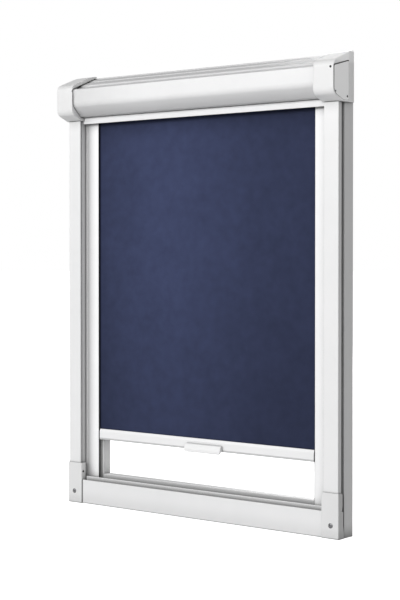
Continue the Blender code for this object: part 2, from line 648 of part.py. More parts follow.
def corner_bracket(name, side):
    """Moulded U round the foot of the side rail, with a floor and two tongues."""
    gap = SEAT_GAP
    front_in = -RAIL_DEPTH - gap
    front_out = front_in - BRACKET_WALL
    outer_in = HALF_WIDTH + gap
    outer_out = outer_in + BRACKET_WALL
    inner_out = RIB_INNER - gap
    inner_in = RIB_INNER - BRACKET_INNER_WALL - gap
    inner_rear = -RAIL_DEPTH + BOTTOM_LIP_FRONT - gap
    edge = front_out + BRACKET_SIDE_DEPTH
    walls = [(inner_in, front_out, SOFT_ROUND), (outer_out, front_out, FACE_ROUND),
             (outer_out, edge + BRACKET_SHOE), (outer_in, edge + BRACKET_SHOE),
             (outer_in, front_in), (inner_out, front_in),
             (inner_out, inner_rear), (inner_in, inner_rear, EDGE_ROUND)]
    bracket = prism(name, [outline(walls, 3)], gap, BRACKET_HEIGHT, upright(side), WHITE_PLASTIC)
    round_off = BRACKET_TOP_ROUND
    waist = edge + BRACKET_WAIST
    behind = [(CLEAR, BRACKET_FOOT_HEIGHT), (edge + BRACKET_SHOE, BRACKET_FOOT_HEIGHT),
              (waist, BRACKET_FOOT_HEIGHT + BRACKET_FLARE), (waist, LATCH_HEIGHT - LATCH_HALF),
              (edge - LATCH_DEPTH, LATCH_HEIGHT - LATCH_HALF + LATCH_SHOULDER),
              (edge, LATCH_HEIGHT + LATCH_HALF), (edge, BRACKET_HEIGHT - round_off),
              (edge - 0.3 * round_off, BRACKET_HEIGHT - 0.3 * round_off),
              (edge - round_off, BRACKET_HEIGHT), (edge - round_off, BRACKET_HEIGHT + CLEAR),
              (CLEAR, BRACKET_HEIGHT + CLEAR)]
    relief = prism(name + "_relief", [outline(behind, 3)], HALF_WIDTH, outer_out + CLEAR,
                   across(side), WHITE_PLASTIC)
    boolean(bracket, relief)
    plan = [(inner_in + gap, front_out + gap), (outer_out - gap, front_out + gap),
            (outer_out - gap, edge), (HALF_WIDTH, edge), (HALF_WIDTH, 0), (LEG_EDGE, 0),
            (LEG_EDGE, GUIDE_FRONT),
            (RIB_INNER, GUIDE_FRONT), (RIB_INNER, inner_rear - gap),
            (inner_in + gap, inner_rear - gap)]
    floor = prism(name + "_floor", [outline(plan)], 0, BRACKET_FLOOR, upright(side), WHITE_PLASTIC)
    rib_tongue = box(name + "_rib_tongue", *tongue_reach(), *tongue_depth(),
                     BRACKET_FLOOR / 2, BRACKET_FLOOR + TONGUE_LENGTH, side)
    rail_tongue = box(name + "_rail_tongue", inner_in - RAIL_TONGUE_LENGTH, inner_in + BITE,
                      -RAIL_DEPTH + WALL + gap, inner_rear - RAIL_TONGUE_STEP,
                      FACE_BASE + WALL + gap, TROUGH_FLOOR - WALL - gap, side)
    for helper in (floor, rib_tongue, rail_tongue):
        boolean(bracket, helper, "UNION")
    recess_floor = gap + BRACKET_WALL - SCREW_RECESS
    recess = turned(name + "_recess", [(recess_floor, SCREW_RECESS_RADIUS),
                                       (CLEAR, SCREW_RECESS_RADIUS)],
                    bracket_screw_axis(side), WHITE_PLASTIC, count=20)
    bore_radius = SCREW_SHANK_RADIUS + gap
    bore = turned(name + "_bore", [(-SCREW_LENGTH, bore_radius), (CLEAR, bore_radius)],
                  bracket_screw_axis(side), WHITE_PLASTIC, count=12)
    peep = turned(name + "_peep", [(-PEEP_DEPTH, PEEP_RADIUS), (PEEP_DEPTH, PEEP_RADIUS)],
                  axis_x(side, inner_in, -RAIL_DEPTH + BRACKET_PEEP_INSET, BRACKET_PEEP_HEIGHT),
                  WHITE_PLASTIC, count=10)
    for cutter in (recess, bore, peep):
        boolean(bracket, cutter)
    return bracket


def tongue_reach():
    """Span across the window of a tongue in the rib's chamber."""
    return (RIB_INNER + SHADOW_GROOVE + WALL + SEAT_GAP,
            HALF_WIDTH - SIDE_GROOVE_DEPTH - WALL - SEAT_GAP)


def tongue_depth():
    """Span front to rear of a tongue in the rib's chamber."""
    return -RAIL_DEPTH + WALL + TONGUE_RELIEF, GROOVE_REAR - SEAT_GAP


def bracket_screw(name, side):
    """Slotted pan-head screw in the front of a bracket."""
    seat = SEAT_GAP + BRACKET_WALL - SCREW_RECESS + SEAT_GAP
    profile = [(-SCREW_LENGTH + BITE, SCREW_SHANK_RADIUS * 0.6),
               (-SCREW_LENGTH + BITE + SCREW_POINT, SCREW_SHANK_RADIUS),
               (seat, SCREW_SHANK_RADIUS), (seat, SCREW_HEAD_RADIUS),
               (seat + SCREW_RECESS - 0.4 * SCREW_HEAD_ROUND, SCREW_HEAD_RADIUS),
               (seat + SCREW_RECESS, SCREW_HEAD_RADIUS - SCREW_HEAD_ROUND)]
    screw = turned(name, profile, bracket_screw_axis(side), BRIGHT_STEEL, count=20)
    centre = HALF_WIDTH - SCREW_INSET
    head_front = -RAIL_DEPTH - seat - SCREW_RECESS
    slot = box(name + "_slot", centre - CLEAR, centre + CLEAR, head_front - BITE,
               head_front + SLOT_DEPTH, SCREW_HEIGHT - SLOT_HALF, SCREW_HEIGHT + SLOT_HALF, side)
    return boolean(screw, slot)


# Head

def slope_height(y, drop=0.0):
    """Height of the head's sloping top at depth y, or a distance below it."""
    fall = (HEAD_RISE - COVER_TOP) / COVER_FRONT
    return HEAD_BASE + HEAD_RISE + fall * y - drop


def head_profile():
    """Rear extrusion: foot, rear wall, ribbed sloping top, front lip and two screw ports."""
    spine = [(-HEAD_FOOT, HEAD_BASE + SEAT_GAP), (0, HEAD_BASE + SEAT_GAP),
             (0, slope_height(0), SOFT_ROUND)]
    for start, end, drop in TOP_GROOVES:
        step = drop / 2
        spine.append((-start, slope_height(-start)))
        spine.append((-start - step, slope_height(-start - step, drop)))
        if end is not None:
            spine.append((-end + step, slope_height(-end + step, drop)))
            spine.append((-end, slope_height(-end)))
    last_drop = TOP_GROOVES[-1][2]
    lip = -COVER_FRONT + COVER_FLANGE + RUN_GAP
    spine.append((lip, slope_height(lip, last_drop)))
    spine.append((lip, slope_height(lip, last_drop + HEAD_LIP)))
    reach = WEB_INNER - SEAT_GAP
    profile = prism("head_profile", [shell(spine, HEAD_WALL, 3)], -reach, reach, across(), WHITE_COAT)
    for index, (y, drop) in enumerate(port_places()):
        centre = (y, slope_height(y, drop))
        outer = PORT_RADIUS + PORT_WALL
        opening = math.radians(PORT_OPENING)
        turns = [-math.pi / 2 + opening + (math.tau - 2 * opening) * step / 12 for step in range(13)]
        loop = [Vector((centre[0] + outer * math.cos(t), centre[1] + outer * math.sin(t))) for t in turns]
        loop += [Vector((centre[0] + PORT_RADIUS * math.cos(t), centre[1] + PORT_RADIUS * math.sin(t)))
                 for t in turns[::-1]]
        port = prism(f"screw_port_{index}", [loop], -reach, reach, across(), WHITE_COAT)
        boolean(profile, port, "UNION")
        stem = prism(f"port_stem_{index}",
                     [box_loop(y - PORT_WALL / 2, y + PORT_WALL / 2,
                               centre[1] + (PORT_RADIUS + outer) / 2, slope_height(y, stem_top(y)))],
                     -reach, reach, across(), WHITE_COAT)
        boolean(profile, stem, "UNION")
    return profile


def stem_top(y):
    """Distance below the slope of the middle of the top wall at depth y."""
    drop = 0.0
    for start, end, groove in TOP_GROOVES:
        if -y > start and (end is None or -y < end):
            drop = groove
    return drop + HEAD_WALL / 2


def port_places():
    """Depth and drop below the slope of each screw port."""
    return [(-REAR_PORT, REAR_PORT_DROP), (-FRONT_PORT, FRONT_PORT_DROP)]


def cover_outline():
    """Corners of the cover's outside, from its top edge to the end of its lower lip."""
    return [
        (-COVER_FRONT, slope_height(-COVER_FRONT), COVER_EDGE_ROUND),
        (-COVER_FRONT, HEAD_BASE + COVER_CORNER, COVER_CORNER_RADIUS),
        (-COVER_SLOPE_END, HEAD_BASE + COVER_SLOPE_HEIGHT, COVER_KNEE_ROUND),
        (-COVER_LIP_END, HEAD_BASE + COVER_LIP_HEIGHT),
    ]


def head_cover():
    """Front extrusion: hooked top flange, upright face, round corner, lower slope and lip."""
    hook = -COVER_FRONT + COVER_FLANGE
    corners = [(hook, slope_height(hook, COVER_HOOK)), (hook, slope_height(hook), EDGE_ROUND)]
    reach = WEB_INNER - SEAT_GAP
    return prism("head_cover", [shell(corners + cover_outline(), COVER_WALL, 6)], -reach, reach,
                 across(), WHITE_COAT)


def exit_strip():
    """Angle under the cover, in front of the fabric's way out."""
    top = HEAD_BASE + STRIP_TOP
    front = -STRIP_FRONT
    corners = [(front, top - STRIP_HEIGHT, SOFT_ROUND), (front, top, SOFT_ROUND),
               (front + STRIP_DEPTH, top, EDGE_ROUND), (front + STRIP_DEPTH, top - WALL, EDGE_ROUND),
               (front + WALL, top - WALL, SOFT_ROUND), (front + WALL, top - STRIP_HEIGHT, EDGE_ROUND)]
    reach = RIB_INNER - SEAT_GAP
    return prism("exit_strip", [outline(corners, 3)], -reach, reach, across(), WHITE_COAT)


def cap_outline():
    """Corners of an end cap, seen from the side."""
    return [
        (0, HEAD_BASE),
        (0, HEAD_BASE + CAP_TOP, CAP_REAR_ROUND),
        (-CAP_TOP_BREAK, HEAD_BASE + CAP_TOP - CAP_TOP_FALL, CAP_TOP_ROUND),
        (-CAP_FRONT, HEAD_BASE + CAP_FRONT_TOP, CAP_BROW_RADIUS),
        (-CAP_FRONT, HEAD_BASE + CAP_CHIN, CAP_CHIN_RADIUS),
        (-CAP_CHIN_END, HEAD_BASE, CAP_KNEE_ROUND),
    ]


def cap_body(name, side):
    """Outer form of a cap: prism, narrowed towards the rear, with rounded outer edges."""
    bm = bmesh.new()
    add_prism(bm, [outline(cap_outline(), 5)], CAP_INNER, CAP_OUTER, across(side))
    bmesh.ops.recalc_face_normals(bm, faces=bm.faces)
    bmesh.ops.dissolve_limit(bm, angle_limit=math.radians(1), verts=bm.verts, edges=bm.edges)
    bmesh.ops.bisect_plane(bm, geom=bm.verts[:] + bm.edges[:] + bm.faces[:],
                           plane_co=(0, -CAP_TAPER_START, 0), plane_no=(0, 1, 0))
    middle = (CAP_INNER + CAP_OUTER) / 2
    for vert in bm.verts:
        if abs(vert.co.x) > middle and vert.co.y > -CAP_TAPER_START:
            share = (vert.co.y + CAP_TAPER_START) / CAP_TAPER_START
            vert.co.x -= side * CAP_REAR_TAPER * share
    bm.normal_update()
    rim = []
    for edge in bm.edges:
        outward = [face.normal.x * side > 0.8 for face in edge.link_faces]
        if sorted(outward) == [False, True]:
            rim.append(edge)
    bmesh.ops.bevel(bm, geom=rim, offset=CAP_EDGE_RADIUS, segments=3, profile=0.5,
                    affect="EDGES", clamp_overlap=True)
    bmesh.ops.triangulate(bm, faces=[face for face in bm.faces if bends(face)])
    return to_object(name, bm, WHITE_PLASTIC)


def bends(face):
    """Whether a face isn't flat."""
    start = face.verts[0].co
    return any(abs((vert.co - start).dot(face.normal)) > 0.001 * MM for vert in face.verts)


def panel_corners(grow_seam, grow):
    """Corners of the panel in a cap's outer side, grown at its seams and elsewhere."""
    front = -CAP_FRONT + PANEL_INSET - grow_seam
    rear = PANEL_REAR + grow
    chin_fall = CAP_CHIN / (CAP_FRONT - CAP_CHIN_END)
    low_front = HEAD_BASE + CAP_CHIN + PANEL_LOW_INSET - (PANEL_INSET * chin_fall) - grow
    low_rear = HEAD_BASE + PANEL_LOW_INSET - grow
    knee = -CAP_CHIN_END + PANEL_KNEE_INSET
    chin = CAP_CHIN_RADIUS - PANEL_INSET + grow_seam
    top_front = HEAD_BASE + PANEL_FRONT_TOP + grow_seam
    top_rear = top_front + (PANEL_REAR + CAP_FRONT - PANEL_INSET) * math.tan(
        math.radians(PANEL_TOP_ANGLE))
    return [
        (front, low_front, chin),
        (front, top_front, PANEL_TOP_ROUND),
        (rear, top_rear, PANEL_REAR_ROUND),
        (rear, low_rear, PANEL_REAR_ROUND),
        (knee, low_rear, PANEL_KNEE_ROUND),
    ]


def end_cap(name, side):
    """Moulded cap: pocket for the head's end, web, outer cavity, panel seat and tongue."""
    cap = cap_body(name, side)
    gap = SEAT_GAP
    room = POCKET_HEADROOM
    lip = HEAD_BASE + COVER_LIP_HEIGHT - gap
    foot = -HEAD_FOOT - POCKET_FOOT_ROOM
    front = -COVER_FRONT - POCKET_FRONT_ROOM
    pocket_corners = [(BITE, HEAD_BASE - BITE), (BITE, slope_height(BITE) + room),
                      (front, slope_height(-COVER_FRONT) + room, COVER_EDGE_ROUND),
                      (front, HEAD_BASE + COVER_CORNER, COVER_CORNER_RADIUS),
                      (-COVER_SLOPE_END, HEAD_BASE + COVER_SLOPE_HEIGHT - room, COVER_KNEE_ROUND),
                      (-COVER_LIP_END, lip), (foot, lip), (foot, HEAD_BASE - BITE)]
    pocket = prism(name + "_pocket", [outline(pocket_corners, 6)], CAP_INNER - BITE, WEB_INNER,
                   across(side), WHITE_PLASTIC)
    strip_seat = box(name + "_strip_seat", CAP_INNER - BITE, RIB_INNER + gap,
                     -STRIP_FRONT - gap, -STRIP_FRONT + STRIP_DEPTH + gap,
                     HEAD_BASE - BITE, HEAD_BASE + STRIP_TOP + RUN_GAP, side)
    seat = prism(name + "_panel_seat", [outline(panel_corners(PANEL_SEAM, gap), 4)],
                 CAP_OUTER - PANEL_WALL - gap, CAP_OUTER + BITE, across(side), WHITE_PLASTIC)
    cavity = prism(name + "_cavity", [outline(panel_corners(-PANEL_LEDGE, -PANEL_LEDGE), 4)],
                   WEB_OUTER, CAP_OUTER, across(side), WHITE_PLASTIC)
    tongue = box(name + "_tongue", *tongue_reach(), *tongue_depth(),
                 HEAD_BASE - TONGUE_LENGTH, HEAD_BASE + TONGUE_ROOT, side)
    boolean(cap, tongue, "UNION")
    for cutter in (pocket, strip_seat, seat, cavity, cap_holes(name, side)):
        boolean(cap, cutter)
    return cap


def cap_holes(name, side):
    """The round holes of a cap: shaft, screws, edge notch, and a sight hole in the right one."""
    bm = bmesh.new()
    bore = SHAFT_RADIUS + BORE_CLEARANCE
    add_turned(bm, [(-BITE, bore), (CAP_WEB + BITE, bore)],
               axis_x(side, WEB_INNER, ROLLER_Y, ROLLER_Z), 20)
    hole = CAP_SCREW_RADIUS + SEAT_GAP
    for y, drop in port_places():
        add_turned(bm, [(-BITE, hole), (CAP_WEB + BITE, hole)],
                   axis_x(side, WEB_INNER, y, slope_height(y, drop)), 12)
    add_turned(bm, [(-CAP_POCKET, PEEP_RADIUS), (BITE, PEEP_RADIUS)],
               axis_out(side, CAP_INNER + SEAT_GAP, -CAP_FRONT, HEAD_BASE + EDGE_NOTCH_HEIGHT), 12)
    if side > 0:
        add_turned(bm, [(-PEEP_DEPTH, PEEP_RADIUS), (BITE, PEEP_RADIUS)],
                   axis_out(side, CAP_OUTER - SIGHT_INSET, -CAP_FRONT, HEAD_BASE + SIGHT_HEIGHT), 12)
    return to_object(name + "_holes", bm, WHITE_PLASTIC)


def cap_panel(name, side):
    """Flush panel in the cap's outer side, with its hooked latch and a small hole."""
    panel = prism(name, [outline(panel_corners(0, 0), 4)], CAP_OUTER - PANEL_WALL, CAP_OUTER,
                  across(side), WHITE_PLASTIC)
    catch_y = -CAP_FRONT + PANEL_INSET + LATCH_REACH
    latch = HEAD_BASE + PANEL_LATCH
    through = [(-PANEL_WALL - BITE, PEEP_RADIUS), (BITE, PEEP_RADIUS)]
    slot = box(name + "_latch_slot", CAP_OUTER - PANEL_WALL - BITE, CAP_OUTER + BITE, -CAP_FRONT,
               catch_y, latch - LATCH_SLOT_HALF, latch + LATCH_SLOT_HALF, side)
    catch = turned(name + "_latch_end", through,
                   axis_x(side, CAP_OUTER, catch_y, latch + LATCH_END_RISE), WHITE_PLASTIC, count=12)
    hole = turned(name + "_hole", through,
                  axis_x(side, CAP_OUTER, PANEL_REAR - PANEL_HOLE_INSET, HEAD_BASE + PANEL_HOLE_HEIGHT),
                  WHITE_PLASTIC, count=12)
    boolean(panel, slot)
    boolean(panel, catch)
    return boolean(panel, hole)


def cap_screw(name, side, port):
    """Screw through a cap's web into one of the head's ports."""
    head = CAP_WEB + SEAT_GAP
    rim = head + CAP_SCREW_SEAT
    profile = [(-CAP_SCREW_LENGTH, CAP_SCREW_RADIUS * 0.7),
               (-CAP_SCREW_LENGTH + SCREW_POINT, CAP_SCREW_RADIUS),
               (head, CAP_SCREW_RADIUS), (head, CAP_SCREW_HEAD), (rim, CAP_SCREW_HEAD),
               (rim + CAP_SCREW_DOME, CAP_SCREW_HEAD * 0.6)]
    y, drop = port
    return turned(name, profile, axis_x(side, WEB_INNER, y, slope_height(y, drop)), BRIGHT_STEEL, 16)


# Roller and what carries it

def bearing_plate(name, side):
    """Steel plate on the cap's web that holds the shaft's or the pin's squared end."""
    half = PLATE_HALF
    corners = [(*corner, PLATE_ROUND) for corner in box_loop(ROLLER_Y - half, ROLLER_Y + half,
                                                             ROLLER_Z - half, ROLLER_Z + half)]
    square = SHAFT_SQUARE / 2 + SEAT_GAP
    hole = box_loop(ROLLER_Y - square, ROLLER_Y + square, ROLLER_Z - square, ROLLER_Z + square)
    start = WEB_OUTER + SEAT_GAP
    return prism(name, [outline(corners, 4), hole], start, start + PLATE_WALL, across(side), BRIGHT_STEEL)


def shaft_piece(name, side, inner_end, collar):
    """A fixed round shaft with a squared outer end, and a collar where one is given."""
    profile = [(0, SHAFT_RADIUS - SHAFT_BEVEL), (SHAFT_BEVEL, SHAFT_RADIUS)]
    if collar:
        profile += [(collar, SHAFT_RADIUS), (collar, COLLAR_RADIUS),
                    (collar + COLLAR_WIDTH, COLLAR_RADIUS), (collar + COLLAR_WIDTH, SHAFT_RADIUS)]
    profile.append((WEB_OUTER - inner_end, SHAFT_RADIUS))
    shaft = turned(name, profile, axis_x(side, inner_end, ROLLER_Y, ROLLER_Z), BRIGHT_STEEL)
    half = SHAFT_SQUARE / 2
    square = prism(name + "_square", [box_loop(ROLLER_Y - half, ROLLER_Y + half,
                                               ROLLER_Z - half, ROLLER_Z + half)],
                   WEB_OUTER - SQUARE_ROOT, WEB_OUTER + SEAT_GAP + PLATE_WALL + SQUARE_PROUD,
                   across(side), BRIGHT_STEEL)
    return boolean(shaft, square, "UNION")


def end_plug(name, side, parent):
    """Plug in the tube's end: barrel, flange and a bore for the fixed shaft."""
    bore = SHAFT_RADIUS + BORE_CLEARANCE
    barrel = TUBE_RADIUS - TUBE_WALL - SEAT_GAP
    inner_end = TUBE_END - PLUG_LENGTH
    loop = [(0, bore), (0, barrel - SHAFT_BEVEL), (SHAFT_BEVEL, barrel),
            (PLUG_LENGTH + SEAT_GAP, barrel), (PLUG_LENGTH + SEAT_GAP, FLANGE_RADIUS),
            (PLUG_LENGTH + SEAT_GAP + FLANGE_WIDTH, FLANGE_RADIUS),
            (PLUG_LENGTH + SEAT_GAP + FLANGE_WIDTH, bore)]
    return revolved(name, loop, axis_x(side, inner_end, ROLLER_Y, ROLLER_Z), GREY_PLASTIC, 32, parent)


def roller_tube(parent):
    """Extruded tube."""
    loops = [ring((ROLLER_Y, ROLLER_Z), TUBE_RADIUS, 40),
             ring((ROLLER_Y, ROLLER_Z), TUBE_RADIUS - TUBE_WALL, 40)]
    return prism("roller_tube", loops, -TUBE_END, TUBE_END, across(), BARE_ALUMINIUM, parent)


def fabric_roll(parent):
    """The turns of fabric that stay on the tube at rest."""
    loops = [ring((ROLLER_Y, ROLLER_Z), ROLL_RADIUS, 40),
             ring((ROLLER_Y, ROLLER_Z), TUBE_RADIUS + SEAT_GAP, 40)]
    return prism("fabric_roll", loops, -FABRIC_EDGE, FABRIC_EDGE, across(), NAVY_FABRIC, parent)


def coil_point(step):
    """A point of the spring's helix, on the left end of the shaft."""
    turn = math.tau * step / SPRING_STEPS
    along = SPRING_WIRE * 1.5 + SPRING_PITCH * step / SPRING_STEPS
    start = TUBE_END - PLUG_LENGTH - SEAT_GAP
    return Vector((-(start - along), ROLLER_Y + SPRING_RADIUS * math.cos(turn),
                   place_z(ROLLER_Z) + SPRING_RADIUS * math.sin(turn)))


def wind_up_spring():
    """The spring round the fixed shaft, between the plug and the collar."""
    points = [coil_point(step) for step in range(SPRING_TURNS * SPRING_STEPS + 1)]
    start = points[0] - Vector((SPRING_WIRE, 0, 0))
    end = points[-1] + Vector((SPRING_WIRE, 0, 0))
    points = [start] + points + [end]
    least = min((points[1 + step] - points[1 + step + SPRING_STEPS]).length - SPRING_WIRE
                for step in range((SPRING_TURNS - 1) * SPRING_STEPS))
    print(f"wind_up_spring: least gap between turns {least / MM:.2f} mm")
    curve = bpy.data.curves.new("wind_up_spring", "CURVE")
    curve.dimensions = "3D"
    curve.bevel_depth = SPRING_WIRE / 2
    curve.bevel_resolution = 1
    curve.use_fill_caps = True
    spline = curve.splines.new("POLY")
    spline.points.add(len(points) - 1)
    for spot, point in zip(spline.points, points):
        spot.co = (*point, 1)
    curve.materials.append(finish_of(*BRIGHT_STEEL))
    item = bpy.data.objects.new("wind_up_spring", curve)
    bpy.context.collection.objects.link(item)
    return item


# Fabric and bar

def fabric_sheet():
    """The sheet between the bar's rod and the roll, with its edges in the guides."""
    low = rod_height() + KEDER_RADIUS + SEAT_GAP
    half = FABRIC_THICKNESS / 2
    return prism("fabric_sheet", [box_loop(-FABRIC_EDGE, FABRIC_EDGE, FABRIC_PLANE - half,
                                           FABRIC_PLANE + half)],
                 low, ROLLER_Z, upright(1), NAVY_FABRIC)


def rod_height():
    """Height of the hem rod's axis."""
    return BAR_BASE + BAR_HEIGHT - ROD_DROP


def bottom_bar(parent):
    """Bar extrusion: bevelled upper edge, round channel for the hem rod, lower chamber."""
    top = BAR_BASE + BAR_HEIGHT
    slot = FABRIC_THICKNESS / 2 + SEAT_GAP
    channel = KEDER_RADIUS + RUN_GAP
    bend = math.asin(slot / channel)
    arc = [math.pi / 2 + bend + (math.tau - 2 * bend) * step / 12 for step in range(13)]
    rim = outline([(BAR_REAR, BAR_BASE, SOFT_ROUND), (BAR_FRONT, BAR_BASE, SOFT_ROUND),
                   (BAR_FRONT, top - BAR_BEVEL_HEIGHT, SOFT_ROUND),
                   (BAR_FRONT + BAR_BEVEL_DEPTH, top, EDGE_ROUND), (FABRIC_PLANE - slot, top)],
                  3, False)
    rim += [Vector((FABRIC_PLANE + channel * math.cos(t), rod_height() + channel * math.sin(t)))
            for t in arc]
    rim += [Vector((FABRIC_PLANE + slot, top)), Vector((BAR_REAR, top))]
    chamber = outline([(*corner, FINE_ROUND) for corner in box_loop(
        BAR_FRONT + BAR_WALL, BAR_REAR - BAR_WALL, BAR_BASE + BAR_WALL, BAR_BASE + BAR_CHAMBER)], 2)
    return prism("bottom_bar", [rim, chamber], -BAR_END, BAR_END, across(), WHITE_COAT, parent)


def bar_keder(parent):
    """Rod in the fabric's lower hem."""
    loop = ring((FABRIC_PLANE, rod_height()), KEDER_RADIUS, 12)
    reach = BAR_END - BITE
    return prism("bar_keder", [loop], -reach, reach, across(), GREY_PLASTIC, parent)


def bar_glide(name, side, parent):
    """End plug of the bar: a shoe in the guide's slot and a tongue in the bar's chamber."""
    gap = SEAT_GAP
    shoe_end = SLOT_END - PAD_LENGTH - RUN_GAP - gap
    low = BAR_BASE + GLIDE_BASE
    high = rod_height() + KEDER_RADIUS - gap
    corners = [(*corner, GLIDE_ROUND) for corner in box_loop(BAR_END + gap, shoe_end, low, high)]
    shoe = prism(name, [outline(corners, 3)], SLOT_FRONT + RUN_GAP, SLOT_REAR - RUN_GAP,
                 facing(side), GREY_PLASTIC, parent)
    tongue = box(name + "_tongue", BAR_END - GLIDE_TONGUE, BAR_END + GLIDE_ROOT,
                 BAR_FRONT + BAR_WALL + gap, BAR_REAR - BAR_WALL - gap,
                 BAR_BASE + BAR_WALL + gap, BAR_BASE + BAR_CHAMBER - gap, side)
    return boolean(shoe, tongue, "UNION")


def brake_pad(name, side, parent):
    """Felt pad on the glide's outer end, which rubs on the end of the guide's slot."""
    end = SLOT_END - RUN_GAP
    start = end - PAD_LENGTH
    corners = [(start, BAR_BASE + PAD_BASE, EDGE_ROUND), (end, BAR_BASE + PAD_BASE, PAD_ROUND),
               (end, BAR_BASE + PAD_TOP, PAD_ROUND), (start, BAR_BASE + PAD_TOP, EDGE_ROUND)]
    return prism(name, [outline(corners, 3)], SLOT_FRONT + RUN_GAP, SLOT_REAR - RUN_GAP,
                 facing(side), DARK_FELT, parent)


def pull_handle(parent):
    """Finger grip on the bar's front, with a lip that hangs below the bar."""
    rear = BAR_FRONT - SEAT_GAP
    front = BAR_FRONT - HANDLE_PROUD
    low = BAR_BASE - HANDLE_DROP
    top = low + HANDLE_HEIGHT
    seat = BAR_BASE + HANDLE_SEAT
    corners = [(rear, seat, FINE_ROUND), (rear, top, SOFT_ROUND),
               (rear - HANDLE_LIP, top, HANDLE_ROUND), (front, low + HANDLE_NOSE, HANDLE_ROUND),
               (front, low, HANDLE_LIP_ROUND), (front + HANDLE_LIP - HANDLE_DRAFT, low, HANDLE_LIP_ROUND),
               (front + HANDLE_LIP, seat, HANDLE_LIP_ROUND)]
    half = HANDLE_WIDTH / 2
    handle = prism("pull_handle", [outline(corners, 4)], HANDLE_OFFSET - half, HANDLE_OFFSET + half,
                   across(), WHITE_PLASTIC, parent)
    shape = [(HANDLE_OFFSET - half, top + CLEAR), (HANDLE_OFFSET - half, low, HANDLE_CORNER),
             (HANDLE_OFFSET + half, low, HANDLE_CORNER), (HANDLE_OFFSET + half, top + CLEAR)]
    trim = prism("handle_trim", [outline(shape, 4)], front - CLEAR, rear + CLEAR, facing(),
                 WHITE_PLASTIC)
    return boolean(handle, trim, "INTERSECT")


def build():
    """Every piece of the blind."""
    clear_scene()
    sides = ((-1, "left"), (1, "right"))
    for side, label in sides:
        side_rail("side_rail_" + label, side)
        corner_bracket("corner_bracket_" + label, side)
        end_cap("end_cap_" + label, side)
        cap_panel("cap_panel_" + label, side)
        bearing_plate("bearing_plate_" + label, side)
        bracket_screw("bracket_screw_" + label, side)
        for port, spot in zip(port_places(), ("rear", "front")):
            cap_screw(f"cap_screw_{label}_{spot}", side, port)
    bottom_rail()
    head_profile()
    head_cover()
    exit_strip()
    spring_end = TUBE_END - PLUG_LENGTH - SEAT_GAP - SPRING_LENGTH - SEAT_GAP
    shaft_piece("spring_shaft", -1, spring_end - COLLAR_INSET - COLLAR_WIDTH, COLLAR_INSET)
    shaft_piece("idle_pin", 1, TUBE_END - PLUG_LENGTH + BITE, 0)
    wind_up_spring()
    fabric_sheet()
    axle = empty_at("roller_axis", (0, ROLLER_Y, place_z(ROLLER_Z)))
    roller_tube(axle)
    fabric_roll(axle)
    end_plug("spring_plug", -1, axle)
    end_plug("idle_plug", 1, axle)
    slide = empty_at("bar_slide", (0, FABRIC_PLANE, place_z(BAR_BASE)))
    bottom_bar(slide)
    bar_keder(slide)
    pull_handle(slide)
    for side, label in sides:
        bar_glide("bar_glide_" + label, side, slide)
        brake_pad("brake_pad_" + label, side, slide)
    weigh_normals()


if __name__ == "__main__":
    build()
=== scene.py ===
"""Looks of the skylight window blind: finishes, fabric, felt pads and studio.

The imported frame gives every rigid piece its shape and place. This script gives each piece its
finish, makes the fabric and the felt as real soft pieces, and sets the light and the camera.
"""

import logging
import math
from dataclasses import dataclass
from enum import Enum

import bmesh
import bpy
from mathutils import Matrix, Vector, noise


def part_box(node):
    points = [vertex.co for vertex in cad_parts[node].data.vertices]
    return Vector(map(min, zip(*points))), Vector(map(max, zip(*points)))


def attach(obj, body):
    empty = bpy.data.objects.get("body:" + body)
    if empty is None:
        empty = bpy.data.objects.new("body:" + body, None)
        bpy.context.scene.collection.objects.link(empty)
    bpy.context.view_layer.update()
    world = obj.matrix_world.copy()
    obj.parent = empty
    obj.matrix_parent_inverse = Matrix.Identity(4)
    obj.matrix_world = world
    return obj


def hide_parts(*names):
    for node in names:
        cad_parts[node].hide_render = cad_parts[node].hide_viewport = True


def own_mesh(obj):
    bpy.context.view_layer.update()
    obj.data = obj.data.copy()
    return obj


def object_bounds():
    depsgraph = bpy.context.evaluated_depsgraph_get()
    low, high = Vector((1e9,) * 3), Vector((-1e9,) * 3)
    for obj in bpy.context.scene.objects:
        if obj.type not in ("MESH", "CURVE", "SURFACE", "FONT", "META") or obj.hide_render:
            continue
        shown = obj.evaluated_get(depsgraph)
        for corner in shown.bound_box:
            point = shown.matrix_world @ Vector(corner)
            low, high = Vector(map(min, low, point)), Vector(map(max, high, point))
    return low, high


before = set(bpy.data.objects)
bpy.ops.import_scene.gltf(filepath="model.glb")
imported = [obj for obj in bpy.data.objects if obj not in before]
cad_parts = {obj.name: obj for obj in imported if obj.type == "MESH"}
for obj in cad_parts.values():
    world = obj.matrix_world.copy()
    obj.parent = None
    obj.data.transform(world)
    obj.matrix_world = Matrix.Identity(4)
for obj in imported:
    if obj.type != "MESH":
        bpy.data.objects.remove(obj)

LOG = logging.getLogger("blind")
MM = 0.001
CREASE = math.radians(40)  # edges sharper than this stay hard
NOISE_RANGE = (0.25, 0.75)  # nearly all of a noise lies in it
CAD_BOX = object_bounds()

FLOAT = "NodeSocketFloat"
INTEGER = "NodeSocketInt"
VECTOR = "NodeSocketVector"
MATERIAL = "NodeSocketMaterial"

Socket = bpy.types.NodeSocket
Sockets = bpy.types.bpy_prop_collection
Value = float | int | str | tuple | Socket | bpy.types.Material
Colour = tuple[float, float, float]
Point = tuple[float, float, float]
Pair = tuple[float, float]


class Run(Enum):
    """Direction in which a profile was drawn, as a stretch of the pattern on it."""

    UPRIGHT = (1.0, 1.0, 0.004)
    ACROSS = (0.004, 1.0, 1.0)
    NONE = (1.0, 1.0, 1.0)


class Side(Enum):
    """The two sides of the blind."""

    LEFT = "left"
    RIGHT = "right"


class Axis(Enum):
    """The axis along which a tone changes."""

    X = 0
    Y = 1
    Z = 2


